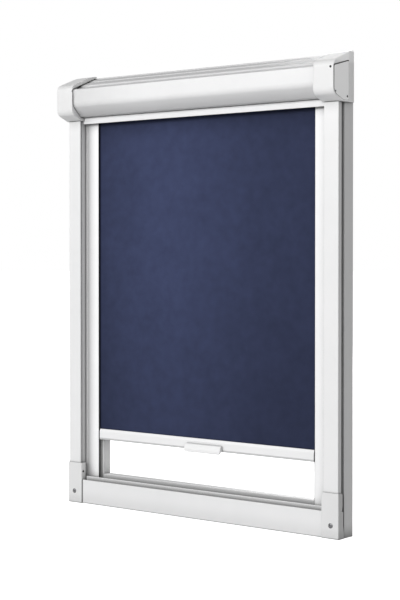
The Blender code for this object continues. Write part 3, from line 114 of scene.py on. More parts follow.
class Graph:
    """Adds and joins nodes in one node tree."""

    def __init__(self, tree: bpy.types.NodeTree) -> None:
        """Keep the tree that the nodes go into."""
        self.tree = tree

    def add(self, kind: str, inputs: dict[str | int, Value] | None = None,
            **settings: object) -> bpy.types.Node:
        """Add a node, with its settings made before its inputs.

        Args:
            kind: The node's type name.
            inputs: Values or sockets for its inputs, by name or place.
            **settings: Properties of the node itself.

        Returns:
            The new node.
        """
        node = self.tree.nodes.new(kind)
        for name, value in settings.items():
            setattr(node, name, value)
        self.fill(node, inputs or {})
        return node

    def fill(self, node: bpy.types.Node, inputs: dict[str | int, Value]) -> None:
        """Feed several inputs of a node, by name or place."""
        for key, value in inputs.items():
            self.feed(node.inputs[key], value)

    def feed(self, socket: Socket, value: Value) -> None:
        """Join a socket to another one, or set its value.

        Args:
            socket: The input.
            value: A socket to take the value from, or the value.
        """
        if isinstance(value, Socket):
            self.tree.links.new(value, socket)
        else:
            socket.default_value = value

    def math(self, operation: str, *terms: Value) -> Socket:
        """Work out a number from numbers."""
        node = self.add("ShaderNodeMath", dict(enumerate(terms)), operation=operation)
        return node.outputs[0]

    def product(self, first: Value, *others: Value) -> Socket:
        """Multiply numbers, one after the other.

        Args:
            first: The first number or its socket.
            *others: The other numbers or sockets.

        Returns:
            The socket of the result.
        """
        for other in others:
            first = self.math("MULTIPLY", first, other)
        return first

    def vector(self, operation: str, *terms: Value, result: str = "Vector") -> Socket:
        """Work out a vector from vectors, or a number where the result is "Value"."""
        node = self.add("ShaderNodeVectorMath", dict(enumerate(terms)), operation=operation)
        return node.outputs[result]

    def scaled(self, colour: Value, factor: Value) -> Socket:
        """Multiply a colour by a factor."""
        node = self.add("ShaderNodeVectorMath", {0: colour, "Scale": factor}, operation="SCALE")
        return node.outputs[0]

    def remap(self, value: Value, low: Value, high: Value, start: float, end: float) -> Socket:
        """Move a value from the range low to high to the range start to end, clamped."""
        terms = {0: value, 1: low, 2: high, 3: start, 4: end}
        return self.add("ShaderNodeMapRange", terms).outputs[0]

    def ripples(self, place: Value, scale: Value, detail: float, roughness: float = 0.5) -> Socket:
        """Make a noise with so many waves a metre."""
        terms = {"Vector": place, "Scale": scale, "Detail": detail, "Roughness": roughness}
        return self.add("ShaderNodeTexNoise", terms).outputs[0]

    def point(self, x: Value = 0.0, y: Value = 0.0, z: Value = 0.0) -> Socket:
        """Put three numbers together as a vector."""
        return self.add("ShaderNodeCombineXYZ", {0: x, 1: y, 2: z}).outputs[0]

    def parts(self, vector: Value) -> Sockets:
        """Take a vector apart into three numbers."""
        return self.add("ShaderNodeSeparateXYZ", {0: vector}).outputs


class Group:
    """A node tree with named inputs and outputs."""

    def __init__(self, name: str, kind: str, inputs: dict[str, str],
                 outputs: dict[str, str]) -> None:
        """Make the tree with its sockets, and nothing between them yet.

        Args:
            name: The tree's name.
            kind: The tree's type name.
            inputs: Socket type of each input, by name.
            outputs: Socket type of each output, by name.
        """
        self.tree = bpy.data.node_groups.new(name, kind)
        for way, sockets in (("INPUT", inputs), ("OUTPUT", outputs)):
            for label, socket in sockets.items():
                self.tree.interface.new_socket(label, in_out=way, socket_type=socket)
        self.graph = Graph(self.tree)
        self.entry = self.graph.add("NodeGroupInput").outputs
        self.exit = self.graph.add("NodeGroupOutput").inputs


class Effect(Group):
    """A shader node group that several finishes share."""

    def __init__(self, name: str, inputs: dict[str, str], outputs: dict[str, str]) -> None:
        """Make the empty group, with the socket type of each input and output by name."""
        super().__init__(name, "ShaderNodeTree", inputs, outputs)

    def place(self, graph: Graph, **values: Value) -> Sockets:
        """Put the group in a material, with values for its inputs, and give its outputs."""
        return graph.add("ShaderNodeGroup", values, node_tree=self.tree).outputs


@dataclass
class Effects:
    """The shared shader groups, each made once.

    Attributes:
        cell_density: How much denser the grain's cells are than its noise.
        fine_share: Share of the noise in the grain's height, the rest being cells.
        fine_lines: Density of the fine die lines, in waves a metre.
        broad_lines: Density of the broad die lines, in waves a metre.
        broad_share: Share of the broad lines in the lines' tone.
        further: How much further hollows are judged than gaps.
        shut_view: Share of free near view up to which a gap counts as shut.
        gap_light: Light left in a shut gap, as a share.
        hollow_light: Light left in a deep hollow, as a share.
        thread_noise: Density of the noise on the threads, in waves a metre.
    """

    cell_density: float = 1.7
    fine_share: float = 0.6
    fine_lines: float = 1400.0
    broad_lines: float = 160.0
    broad_share: float = 0.6
    further: float = 7.0
    shut_view: float = 0.3
    gap_light: float = 0.2
    hollow_light: float = 0.25
    thread_noise: float = 900.0

    def __post_init__(self) -> None:
        """Make all the groups."""
        self.grain = self.make_grain()
        self.lines = self.make_lines()
        self.recess = self.make_recess("recess_shade", False)
        self.own_recess = self.make_recess("own_recess_shade", True)
        self.weave = self.make_weave()
        self.clouds = self.make_clouds()
        self.band = self.make_band()

    def make_grain(self) -> Effect:
        """Fine texture of a moulding or a coat of powder.

        Returns:
            The effect, with Size in metres.
        """
        effect = Effect("fine_grain", {"Vector": VECTOR, "Size": FLOAT},
                        {"Height": FLOAT, "Tone": FLOAT})
        graph, entry = effect.graph, effect.entry
        scale = graph.math("DIVIDE", 1.0, entry["Size"])
        fine = graph.ripples(entry["Vector"], scale, 3.0, 0.55)
        dense = graph.math("MULTIPLY", scale, self.cell_density)
        cells = graph.add("ShaderNodeTexVoronoi", {"Vector": entry["Vector"], "Scale": dense,
                                                   "Smoothness": 0.6}, feature="SMOOTH_F1")
        height = graph.math("ADD", graph.math("MULTIPLY", fine, self.fine_share),
                            graph.math("MULTIPLY", cells.outputs["Distance"], 1 - self.fine_share))
        graph.feed(effect.exit["Height"], height)
        graph.feed(effect.exit["Tone"], fine)
        return effect

    def make_lines(self) -> Effect:
        """Faint lines that the die leaves along a drawn profile.

        Returns:
            The effect, with Run as the stretch of the pattern.
        """
        effect = Effect("die_lines", {"Vector": VECTOR, "Run": VECTOR},
                        {"Height": FLOAT, "Tone": FLOAT})
        graph = effect.graph
        along = graph.vector("MULTIPLY", effect.entry["Vector"], effect.entry["Run"])
        fine = graph.ripples(along, self.fine_lines, 2.0)
        broad = graph.ripples(along, self.broad_lines, 1.0)
        tone = graph.math("ADD", graph.math("MULTIPLY", fine, 1 - self.broad_share),
                          graph.math("MULTIPLY", broad, self.broad_share))
        graph.feed(effect.exit["Height"], fine)
        graph.feed(effect.exit["Tone"], tone)
        return effect

    def make_recess(self, name: str, alone: bool) -> Effect:
        """Darkness inside holes, slots and seams, where the light from outside can't reach.

        Narrow gaps are judged within a short reach, hollows within a longer one.

        Args:
            name: Name of the effect.
            alone: Whether only the piece itself makes its hollows, and not its neighbours.

        Returns:
            The effect, with Reach in metres. Gap and Open are the shares of free view, near by
            and further out, that count as open, and Deep the share that counts as closed. Its
            Mask is 1 in the open and next to Floor in the deepest place.
        """
        effect = Effect(name, {"Reach": FLOAT, "Gap": FLOAT, "Deep": FLOAT, "Open": FLOAT,
                               "Floor": FLOAT}, {"Mask": FLOAT})
        graph, entry = effect.graph, effect.entry
        near = graph.add("ShaderNodeAmbientOcclusion", {"Distance": entry["Reach"]}, samples=8)
        reach = graph.math("MULTIPLY", entry["Reach"], self.further)
        far = graph.add("ShaderNodeAmbientOcclusion", {"Distance": reach}, samples=8,
                        only_local=alone)
        gap = graph.remap(near.outputs["AO"], self.shut_view, entry["Gap"], self.gap_light, 1.0)
        hollow = graph.remap(far.outputs["AO"], entry["Deep"], entry["Open"],
                             self.hollow_light, 1.0)
        rest = graph.math("SUBTRACT", 1.0, entry["Floor"])
        mask = graph.math("MULTIPLY_ADD", graph.product(gap, hollow), rest, entry["Floor"])
        graph.feed(effect.exit["Mask"], mask)
        return effect

    def make_weave(self) -> Effect:
        """Plain weave of warp and weft threads.

        Returns:
            The effect, with Vector along the cloth and Pitch in metres.
        """
        effect = Effect("plain_weave", {"Vector": VECTOR, "Pitch": FLOAT},
                        {"Height": FLOAT, "Tone": FLOAT})
        graph, entry = effect.graph, effect.entry
        place = graph.parts(entry["Vector"])
        steps = [graph.math("DIVIDE", place[axis], entry["Pitch"]) for axis in (0, 1)]
        ridges = [graph.math("ABSOLUTE", graph.math("SINE", graph.product(step, math.pi)))
                  for step in steps]
        cells = [graph.math("FLOOR", step) for step in steps]
        over = graph.math("PINGPONG", graph.math("ADD", *cells), 1.0)
        warp = graph.product(ridges[0], over)
        weft = graph.product(ridges[1], graph.math("SUBTRACT", 1.0, over))
        graph.feed(effect.exit["Height"], graph.math("ADD", warp, weft))
        graph.feed(effect.exit["Tone"], graph.ripples(entry["Vector"], self.thread_noise, 2.0))
        return effect

    @staticmethod
    def make_clouds() -> Effect:
        """Soft uneven tone of a coated or handled surface.

        Returns:
            The effect, with Size in metres. Its Tone lies round 1.
        """
        effect = Effect("soft_clouds", {"Vector": VECTOR, "Size": FLOAT, "Contrast": FLOAT},
                        {"Tone": FLOAT})
        graph, entry = effect.graph, effect.entry
        cloud = graph.ripples(entry["Vector"], graph.math("DIVIDE", 1.0, entry["Size"]), 3.0)
        away = graph.math("SUBTRACT", cloud, 0.5)
        graph.feed(effect.exit["Tone"], graph.math("MULTIPLY_ADD", away, entry["Contrast"], 1.0))
        return effect

    @staticmethod
    def make_band() -> Effect:
        """Smooth change from one tone to another along a line.

        Returns:
            The effect, with Start and End in metres and Before and After as factors.
        """
        inputs = ("Along", "Start", "End", "Before", "After")
        effect = Effect("tone_band", dict.fromkeys(inputs, FLOAT), {"Tone": FLOAT})
        terms = {place: effect.entry[name] for place, name in enumerate(inputs)}
        step = effect.graph.add("ShaderNodeMapRange", terms, interpolation_type="SMOOTHSTEP")
        effect.graph.feed(effect.exit["Tone"], step.outputs[0])
        return effect


@dataclass(frozen=True)
class Band:
    """A soft change of tone along one axis, used for painted light and painted shade.

    Attributes:
        axis: The axis.
        span: Where the change starts and ends, in millimetres from the origin.
        tones: The tone before the change and after it, as factors.
        origin: Place on the axis that the span is measured from, in metres.
    """

    axis: Axis
    span: Pair
    tones: Pair
    origin: float = 0.0

    def tone(self, graph: Graph, effects: Effects, place: Value) -> Socket:
        """Put the band in a material.

        Args:
            graph: The material's graph.
            effects: The shared shader groups.
            place: The place on the piece, in metres.

        Returns:
            The socket of the tone.
        """
        start, end = (self.origin + step * MM for step in self.span)
        before, after = self.tones
        return effects.band.place(graph, Along=graph.parts(place)[self.axis.value], Start=start,
                                  End=end, Before=before, After=after)["Tone"]


@dataclass(frozen=True)
class Stripe:
    """A stretch of another tone along X, only on what lies in front, used for painted shade.

    Attributes:
        span: Where the stretch starts and ends, in millimetres from the origin.
        blur: How long each change takes, in millimetres.
        factor: The tone of the stretch.
        origin: Place along X that the span is measured from, in metres.
        back: Place along Y behind which nothing changes, in metres.
    """

    span: Pair
    blur: float
    factor: float
    origin: float
    back: float

    def tone(self, graph: Graph, effects: Effects, place: Value) -> Socket:
        """Put the stripe in a material.

        Args:
            graph: The material's graph.
            effects: The shared shader groups.
            place: The place on the piece, in metres.

        Returns:
            The socket of the tone.
        """
        low, high = self.span
        edges = (Band(Axis.X, (low, low + self.blur), (0.0, 1.0 - self.factor), self.origin),
                 Band(Axis.X, (high, high + self.blur), (1.0, 0.0), self.origin),
                 Band(Axis.Y, (-self.blur, 0), (1.0, 0.0), self.back))
        change = graph.product(*(edge.tone(graph, effects, place) for edge in edges))
        return graph.math("SUBTRACT", 1.0, change)


@dataclass(frozen=True)
class Spot:
    """Painted shade in the mouth of a small hole.

    Attributes:
        offset: Its middle, in millimetres from the origin.
        origin: Place that the offset is measured from, in metres.
        radius: How far the dark reaches, in millimetres.
        blur: How long the change to the open surface takes, in millimetres.
        factor: The tone inside.
    """

    offset: Point
    origin: Point
    radius: float = 1.9
    blur: float = 0.4
    factor: float = 0.03

    def tone(self, graph: Graph, effects: Effects, place: Value) -> Socket:
        """Put the spot in a material.

        Args:
            graph: The material's graph.
            effects: The shared shader groups.
            place: The place on the piece, in metres.

        Returns:
            The socket of the tone.
        """
        middle = Vector(self.origin) + Vector(self.offset) * MM
        away = graph.vector("DISTANCE", place, middle, result="Value")
        return effects.band.place(graph, Along=away, Start=self.radius * MM,
                                  End=(self.radius + self.blur) * MM, Before=self.factor,
                                  After=1.0)["Tone"]


@dataclass(frozen=True)
class Recess:
    """How much painted shade a finish gets in its holes, slots and seams.

    Attributes:
        reach: How near a wall has to be to make a gap dark, in metres.
        gap_view: Share of free near view from which a place counts as open.
        deep_view: Share of free wider view up to which a place counts as deep inside.
        open_view: Share of free wider view from which a place counts as open.
        depth: Colour left in the dark, as a share.
        alone: Whether only the piece itself shades its hollows.
    """

    reach: float = 3.5 * MM
    gap_view: float = 0.6
    deep_view: float = 0.25
    open_view: float = 0.86
    depth: float = 0.05
    alone: bool = False

    def tone(self, graph: Graph, effects: Effects) -> Socket:
        """Put the shade in a material."""
        shade = effects.own_recess if self.alone else effects.recess
        return shade.place(graph, Reach=self.reach, Gap=self.gap_view, Deep=self.deep_view,
                           Open=self.open_view, Floor=self.depth)["Mask"]


@dataclass(frozen=True)
class Finish:
    """A surface with a fine grain, and the base of the other finishes.

    Attributes:
        name: Name of the material.
        colour: Base colour, linear.
        roughness: Middle of its roughness.
        spread: How far the roughness goes below and above its middle.
        grain: Size of the grain, in metres.
        relief: Height of the grain, in metres.
        cloud: Contrast of the soft uneven tone.
        cloud_size: Size of the patches of that tone, in metres.
        recess: Its painted shade in recesses.
        edge: Radius of the small rounds on hard edges, in metres.
        run: Direction of the die lines.
        bands: Bands, stripes and spots of painted light and shade.
    """

    name: str
    colour: Colour
    roughness: float
    spread: Pair = (0.05, 0.06)
    grain: float = 0.9 * MM
    relief: float = 0.02 * MM
    cloud: float = 0.05
    cloud_size: float = 60 * MM
    recess: Recess = Recess()
    edge: float = 0.35 * MM
    run: Run = Run.NONE
    bands: tuple[Band | Stripe | Spot, ...] = ()

    def build(self, effects: Effects) -> bpy.types.Material:
        """Make the material.

        Args:
            effects: The shared shader groups.

        Returns:
            The material.
        """
        material = bpy.data.materials.new(self.name)
        material.use_nodes = True
        material.diffuse_color = (*self.colour, 1.0)
        shader = material.node_tree.nodes["Principled BSDF"]
        self.dress(Graph(material.node_tree), shader, effects)
        return material

    def dress(self, graph: Graph, shader: bpy.types.Node, effects: Effects) -> None:
        """Give the shader its colour, roughness and relief.

        Args:
            graph: The material's graph.
            shader: Its Principled shader.
            effects: The shared shader groups.
        """
        place = graph.add("ShaderNodeTexCoord").outputs["Object"]
        grain = effects.grain.place(graph, Vector=place, Size=self.grain)
        clouds = effects.clouds.place(graph, Vector=place, Size=self.cloud_size,
                                      Contrast=self.cloud)
        height, rough = grain["Height"], grain["Tone"]
        if self.run is not Run.NONE:
            lines = effects.lines.place(graph, Vector=place, Run=self.run.value)
            height, rough = graph.math("ADD", height, lines["Height"]), lines["Tone"]
        rounded = graph.add("ShaderNodeBevel", {"Radius": self.edge}, samples=6).outputs[0]
        bump = graph.add("ShaderNodeBump", {"Strength": 1.0, "Distance": self.relief,
                                            "Height": height, "Normal": rounded})
        graph.fill(shader, {"Base Color": self.shaded(graph, effects, place, clouds["Tone"]),
                            "Roughness": self.uneven(graph, rough), "Normal": bump.outputs[0]})

    def shaded(self, graph: Graph, effects: Effects, place: Value, tone: Value) -> Socket:
        """Work out the colour under a tone, the painted shade in recesses and the painted light
        and shade of the bands.

        Args:
            graph: The material's graph.
            effects: The shared shader groups.
            place: The place on the piece, in metres.
            tone: The tone of the surface itself.

        Returns:
            The socket of the colour.
        """
        bands = [band.tone(graph, effects, place) for band in self.bands]
        return graph.scaled(self.colour,
                            graph.product(tone, self.recess.tone(graph, effects), *bands))

    def uneven(self, graph: Graph, tone: Value) -> Socket:
        """Let the roughness follow a noise."""
        low, high = self.roughness - self.spread[0], self.roughness + self.spread[1]
        return graph.remap(tone, *NOISE_RANGE, low, high)


@dataclass(frozen=True)
class CoatFinish(Finish):
    """Powder coat on a drawn profile, white where nothing else is said."""

    colour: Colour = (0.80, 0.80, 0.803)
    roughness: float = 0.36
    run: Run = Run.ACROSS


@dataclass(frozen=True)
class MouldedFinish(Finish):
    """Moulded plastic with an even grain and soft edges."""

    roughness: float = 0.44
    grain: float = 0.7 * MM
    relief: float = 0.035 * MM
    edge: float = 0.8 * MM


@dataclass(frozen=True)
class MetalFinish(Finish):
    """Bare or plated metal with lines left by its making."""

    def dress(self, graph: Graph, shader: bpy.types.Node, effects: Effects) -> None:
        """Dress the shader as on any surface, and make it metal."""
        super().dress(graph, shader, effects)
        graph.fill(shader, {"Metallic": 1.0})


@dataclass(frozen=True)
class ClothFinish(Finish):
    """Woven cloth with a coat, patterned along its own map.

    Attributes:
        pitch: Distance between threads, in metres.
        threads: The tone between the threads and on top of them, as factors.
        mottle: Size of the small patches of uneven tone, in metres.
        broad_share: Contrast of the large patches, as a share of the small ones'.
        sheen: Weight of the soft sheen.
        sheen_roughness: Roughness of the sheen.
        gloss: Strength of the shine, half of a plain plastic's at 0.25.
        bump: Strength of the weave's relief.
    """

    spread: Pair = (0.06, 0.06)
    pitch: float = 0.42 * MM
    threads: Pair = (0.86, 1.1)
    mottle: float = 18 * MM
    broad_share: float = 0.8
    sheen: float = 0.25
    sheen_roughness: float = 0.45
    gloss: float = 0.15
    bump: float = 0.6

    def dress(self, graph: Graph, shader: bpy.types.Node, effects: Effects) -> None:
        """Give the shader the weave's colour, roughness, relief and sheen.

        Args:
            graph: The material's graph.
            shader: Its Principled shader.
            effects: The shared shader groups.
        """
        flat = graph.add("ShaderNodeUVMap", uv_map="UVMap").outputs[0]
        place = graph.add("ShaderNodeTexCoord").outputs["Object"]
        weave = effects.weave.place(graph, Vector=flat, Pitch=self.pitch)
        small = effects.clouds.place(graph, Vector=flat, Size=self.mottle, Contrast=self.cloud)
        large = effects.clouds.place(graph, Vector=flat, Size=self.cloud_size,
                                     Contrast=self.cloud * self.broad_share)
        thread = graph.remap(weave["Height"], 0.0, 1.0, *self.threads)
        tone = graph.product(small["Tone"], large["Tone"], thread)
        bump = graph.add("ShaderNodeBump", {"Strength": self.bump, "Distance": self.relief,
                                            "Height": weave["Height"]})
        graph.fill(shader, {"Base Color": self.shaded(graph, effects, place, tone),
                            "Roughness": self.uneven(graph, weave["Tone"]),
                            "Sheen Weight": self.sheen, "Sheen Roughness": self.sheen_roughness,
                            "Sheen Tint": (*self.colour, 1.0), "Specular IOR Level": self.gloss,
                            "Normal": bump.outputs[0]})


@dataclass
class Finishes:
    """Every finish of the blind, made once.

    Attributes:
        shoe_width: Width of a corner bracket's front over the rail, in metres.
        rib_width: Width of a side rail's front rib, in metres.
        lip_inset: Distance of a guide's lip from the rail's inner side, in metres.
    """

    shoe_width: float = 33 * MM
    rib_width: float = 29.1 * MM
    lip_inset: float = 6.6 * MM

    def __post_init__(self) -> None:
        """Make the materials."""
        effects = Effects()
        # weak painted shade in the recesses of the cover and the strip
        shallow = Recess(gap_view=0.32, deep_view=0.0, open_view=0.4, depth=0.6)
        self.rail = self.rail_coat().build(effects)
        self.beam = self.cover_coat(shallow).build(effects)
        self.strip = CoatFinish("coated_strip", recess=shallow).build(effects)
        # darker than the white coat: painted shade on the head's sloping ribbed top
        self.ribbed = CoatFinish("coated_top", (0.74, 0.74, 0.745)).build(effects)
        self.sill = self.sill_coat().build(effects)
        self.bar = self.bar_coat().build(effects)
        self.cap = self.cap_moulding().build(effects)
        self.corner = self.corner_moulding().build(effects)
        self.panel = self.panel_moulding().build(effects)
        self.grip = MouldedFinish("grip_moulding", (0.86, 0.86, 0.86), 0.42,
                                  relief=0.03 * MM).build(effects)
        self.grey_moulding = Finish("grey_moulding", (0.24, 0.25, 0.26), 0.5,
                                    grain=0.7 * MM).build(effects)
        self.steel = MetalFinish("plated_steel", (0.32, 0.32, 0.33), 0.34, grain=0.5 * MM,
                                 relief=0.01 * MM, edge=0.15 * MM).build(effects)
        self.tube = MetalFinish("mill_aluminium", (0.76, 0.77, 0.78), 0.36,
                                run=Run.ACROSS).build(effects)
        self.cloth = self.navy_cloth().build(effects)
        self.lining = ClothFinish("pearl_lining", (0.55, 0.56, 0.58), 0.55, relief=0.03 * MM,
                                  cloud=0.04, sheen=0.1).build(effects)
        self.felt = Finish("dark_felt", (0.035, 0.035, 0.04), 0.95, grain=0.35 * MM,
                           relief=0.15 * MM, cloud=0.3).build(effects)

    def lip(self) -> float:
        """Place of the left guide's lip along X, in metres."""
        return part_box("side_rail_left")[1].x - self.lip_inset

    def joint(self) -> float:
        """Place along X where the left bracket's front ends, in metres."""
        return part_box("side_rail_left")[0].x + self.shoe_width

    def rail_coat(self) -> Finish:
        """Coat of the side rails, with painted shade on their front faces, on the right rail's
        outer side and inside the left one.

        Returns:
            The finish.
        """
        front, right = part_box("side_rail_right")[0].y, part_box("side_rail_right")[1].x
        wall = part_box("side_rail_left")[0].x + self.rib_width
        recess = Recess(deep_view=0.35, open_view=0.97, depth=0.06)
        bands = (
            Band(Axis.Y, (1, 3), (0.865, 1.0), front),  # painted shade on the front faces
            Band(Axis.X, (-1.0, -0.4), (1.0, 0.6), right),  # painted shade on the right rail's outer side
            Stripe((-1.2, 0.4), 0.4, 0.72, wall, front + 18 * MM),  # painted shade on the left rib's inner wall
            Stripe((-0.5, 5.4), 0.3, 0.6, self.lip(), front + 25.5 * MM),  # painted shade in the slot beside the left guide's lip
        )
        return CoatFinish("coated_rail", (0.94, 0.94, 0.943), run=Run.UPRIGHT, recess=recess,
                          bands=bands)

    @staticmethod
    def cover_coat(shallow: Recess) -> Finish:
        """Coat of the head's cover, with painted shade on its lower slope and towards its left
        end.

        Args:
            shallow: Its painted shade in recesses.

        Returns:
            The finish.
        """
        bands = (
            Band(Axis.Z, (-4, 24), (0.64, 1.0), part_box("head_cover")[0].z),  # painted shade on the lower slope
            Band(Axis.X, (-280, -100), (0.86, 1.0)),  # painted shade towards the left end
        )
        return CoatFinish("coated_beam", recess=shallow, bands=bands)

    def sill_coat(self) -> Finish:
        """Coat of the bottom rail, with painted shade towards its foot, along its lower edge, on
        its front face and at the left bracket, and a painted highlight before the channel.

        Returns:
            The finish.
        """
        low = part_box("bottom_rail")[0]
        recess = Recess(deep_view=0.46, open_view=1.0, alone=True)
        bands = (
            Band(Axis.Z, (0, 30), (0.88, 1.0), low.z),  # painted shade towards the foot
            Band(Axis.Z, (1.2, 2.2), (0.6, 1.0), low.z),  # painted shade along the lower edge
            Band(Axis.Y, (0.5, 1.5), (0.82, 1.0), low.y),  # painted shade on the front face
            Band(Axis.Y, (12.1, 13.1), (1.22, 1.0), low.y),  # painted highlight on what lies before the channel
            Band(Axis.X, (0.5, 2.5), (0.25, 1.0), self.joint()),  # painted shadow line at the left bracket
        )
        return CoatFinish("coated_sill", recess=recess, bands=bands)

    @staticmethod
    def bar_coat() -> Finish:
        """Coat of the pull bar, with painted shade along its lower edge."""
        edge = Band(Axis.Z, (2.4, 4.2), (0.62, 1.0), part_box("bottom_bar")[0].z)
        return CoatFinish("coated_bar", (0.86, 0.86, 0.863), recess=Recess(gap_view=0.5),
                          bands=(edge,))

    @staticmethod
    def cap_moulding() -> Finish:
        """Plastic of the end caps, with painted light on the chin and the falling top, and painted
        shade in the hole in the right one's front.

        Returns:
            The finish.
        """
        low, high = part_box("end_cap_right")
        bands = (
            Band(Axis.Z, (18, 30), (1.24, 1.0), low.z),  # painted light on the chin
            Band(Axis.Z, (-24, -17), (1.0, 1.2), high.z),  # painted light on the falling top
            # painted shade in the hole in the right cap's front
            Spot((-5.5, 0, 79.4), (high.x, low.y, low.z)),
        )
        return MouldedFinish("cap_moulding", (0.78, 0.78, 0.78), edge=1.4 * MM,
                             recess=Recess(gap_view=0.8), bands=bands)

    def corner_moulding(self) -> Finish:
        """Plastic of the corner brackets, with painted light on the foot, painted shade along the
        lower edge and on the right one's outer side, and painted shade in the hole in the left
        one's side.

        Returns:
            The finish.
        """
        sole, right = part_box("corner_bracket_left")[0].z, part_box("corner_bracket_right")[1].x
        bands = (
            Band(Axis.Z, (0, 14), (1.3, 1.0), sole),  # painted light on the foot
            Band(Axis.Z, (0.8, 1.8), (0.8, 1.0), sole),  # painted shade along the lower edge
            Band(Axis.X, (-1.0, -0.4), (1.0, 0.62), right),  # painted shade on the right bracket's outer side
            # painted shade in the hole in the left bracket's side
            Spot((-0.8, 3, 59), (self.joint(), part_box("side_rail_left")[0].y, sole)),
        )
        return MouldedFinish("corner_moulding", (0.74, 0.74, 0.74), recess=Recess(gap_view=0.9),
                             bands=bands)

    @staticmethod
    def panel_moulding() -> Finish:
        """Plastic of the caps' panels, lighter than the caps' own as painted light on their sides,
        with painted shade in the hole in the right one.

        Returns:
            The finish.
        """
        low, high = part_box("cap_panel_right")
        # painted shade in the hole in the right panel
        hole = Spot((0, -4, 5.9), (high.x, high.y, low.z), radius=1.7)
        # lighter than the cap moulding: painted light on the caps' side panels
        return MouldedFinish("panel_moulding", (0.87, 0.87, 0.87), 0.38, relief=0.03 * MM,
                             edge=0.4 * MM, recess=Recess(gap_view=0.8), bands=(hole,))

    def navy_cloth(self) -> Finish:
        """Front of the fabric, with a painted pool of light in its middle and painted shade at its
        borders and under the head.

        Returns:
            The finish.
        """
        recess = Recess(reach=9 * MM, open_view=0.92, depth=0.2)
        bands = (
            Band(Axis.X, (-340, -90), (0.60, 1.0)),  # painted shade towards the left, round a painted pool of light
            Band(Axis.X, (-1.6, 4.2), (0.3, 1.0), self.lip()),  # painted shadow of the left guide's lip
            Band(Axis.X, (-90, 190), (1.0, 0.68)),  # painted shade towards the right
            Band(Axis.Z, (632, 690), (1.0, 0.68)),  # painted shadow under the head
            Band(Axis.Z, (50, 500), (0.75, 1.0)),  # painted shade towards the bottom
        )
        return ClothFinish("navy_cloth", (0.042, 0.053, 0.115), 0.85, relief=0.05 * MM,
                           cloud=0.38, recess=recess, bands=bands)


def link(name: str, mesh: bpy.types.Mesh) -> bpy.types.Object:
    """Put a finished mesh in the scene.

    Args:
        name: The piece's name.
        mesh: Its mesh, in the frame's own coordinates.

    Returns:
        The new object.
    """
    mesh.name = name
    piece = bpy.data.objects.new(name, mesh)
    bpy.context.collection.objects.link(piece)
    return piece


def smooth(piece: bpy.types.Object) -> None:
    """Shade a piece smooth between its hard edges."""
    piece.data.shade_smooth()
    piece.data.set_sharp_from_angle(angle=CREASE)


def dress_node(node: str, material: bpy.types.Material) -> None:
    """Give a carried-over CAD node its finish.

    Args:
        node: The node's name.
        material: Its material.
    """
    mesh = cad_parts[node].data
    mesh.materials.clear()
    mesh.materials.append(material)
    for polygon in mesh.polygons:
        polygon.material_index = 0
    LOG.info("%s dressed in %s", node, material.name)


class Recipe(Group):
    """A Geometry Nodes tree with named inputs, baked into plain meshes."""

    def __init__(self, name: str, inputs: dict[str, str]) -> None:
        """Make the tree, with the socket type of each input by name."""
        super().__init__(name, "GeometryNodeTree", inputs, {"Geometry": "NodeSocketGeometry"})

    def bake(self, name: str, **values: Value) -> bpy.types.Object:
        """Run the tree and keep its result as a plain mesh.

        Args:
            name: Name of the piece.
            **values: The tree's inputs, with spaces in their names as underscores.

        Returns:
            The piece.
        """
        carrier = link(name + "_carrier", bpy.data.meshes.new(name + "_carrier"))
        modifier = carrier.modifiers.new("recipe", "NODES")
        modifier.node_group = self.tree
        for item in self.tree.interface.items_tree:
            key = item.name.replace(" ", "_")
            if item.in_out == "INPUT" and key in values:
                modifier[item.identifier] = values[key]
        depsgraph = bpy.context.evaluated_depsgraph_get()
        mesh = bpy.data.meshes.new_from_object(carrier.evaluated_get(depsgraph),
                                               depsgraph=depsgraph,
                                               preserve_all_data_layers=True)
        carrier.modifiers.remove(modifier)
        bpy.data.objects.remove(carrier, do_unlink=True)
        return link(name, mesh)


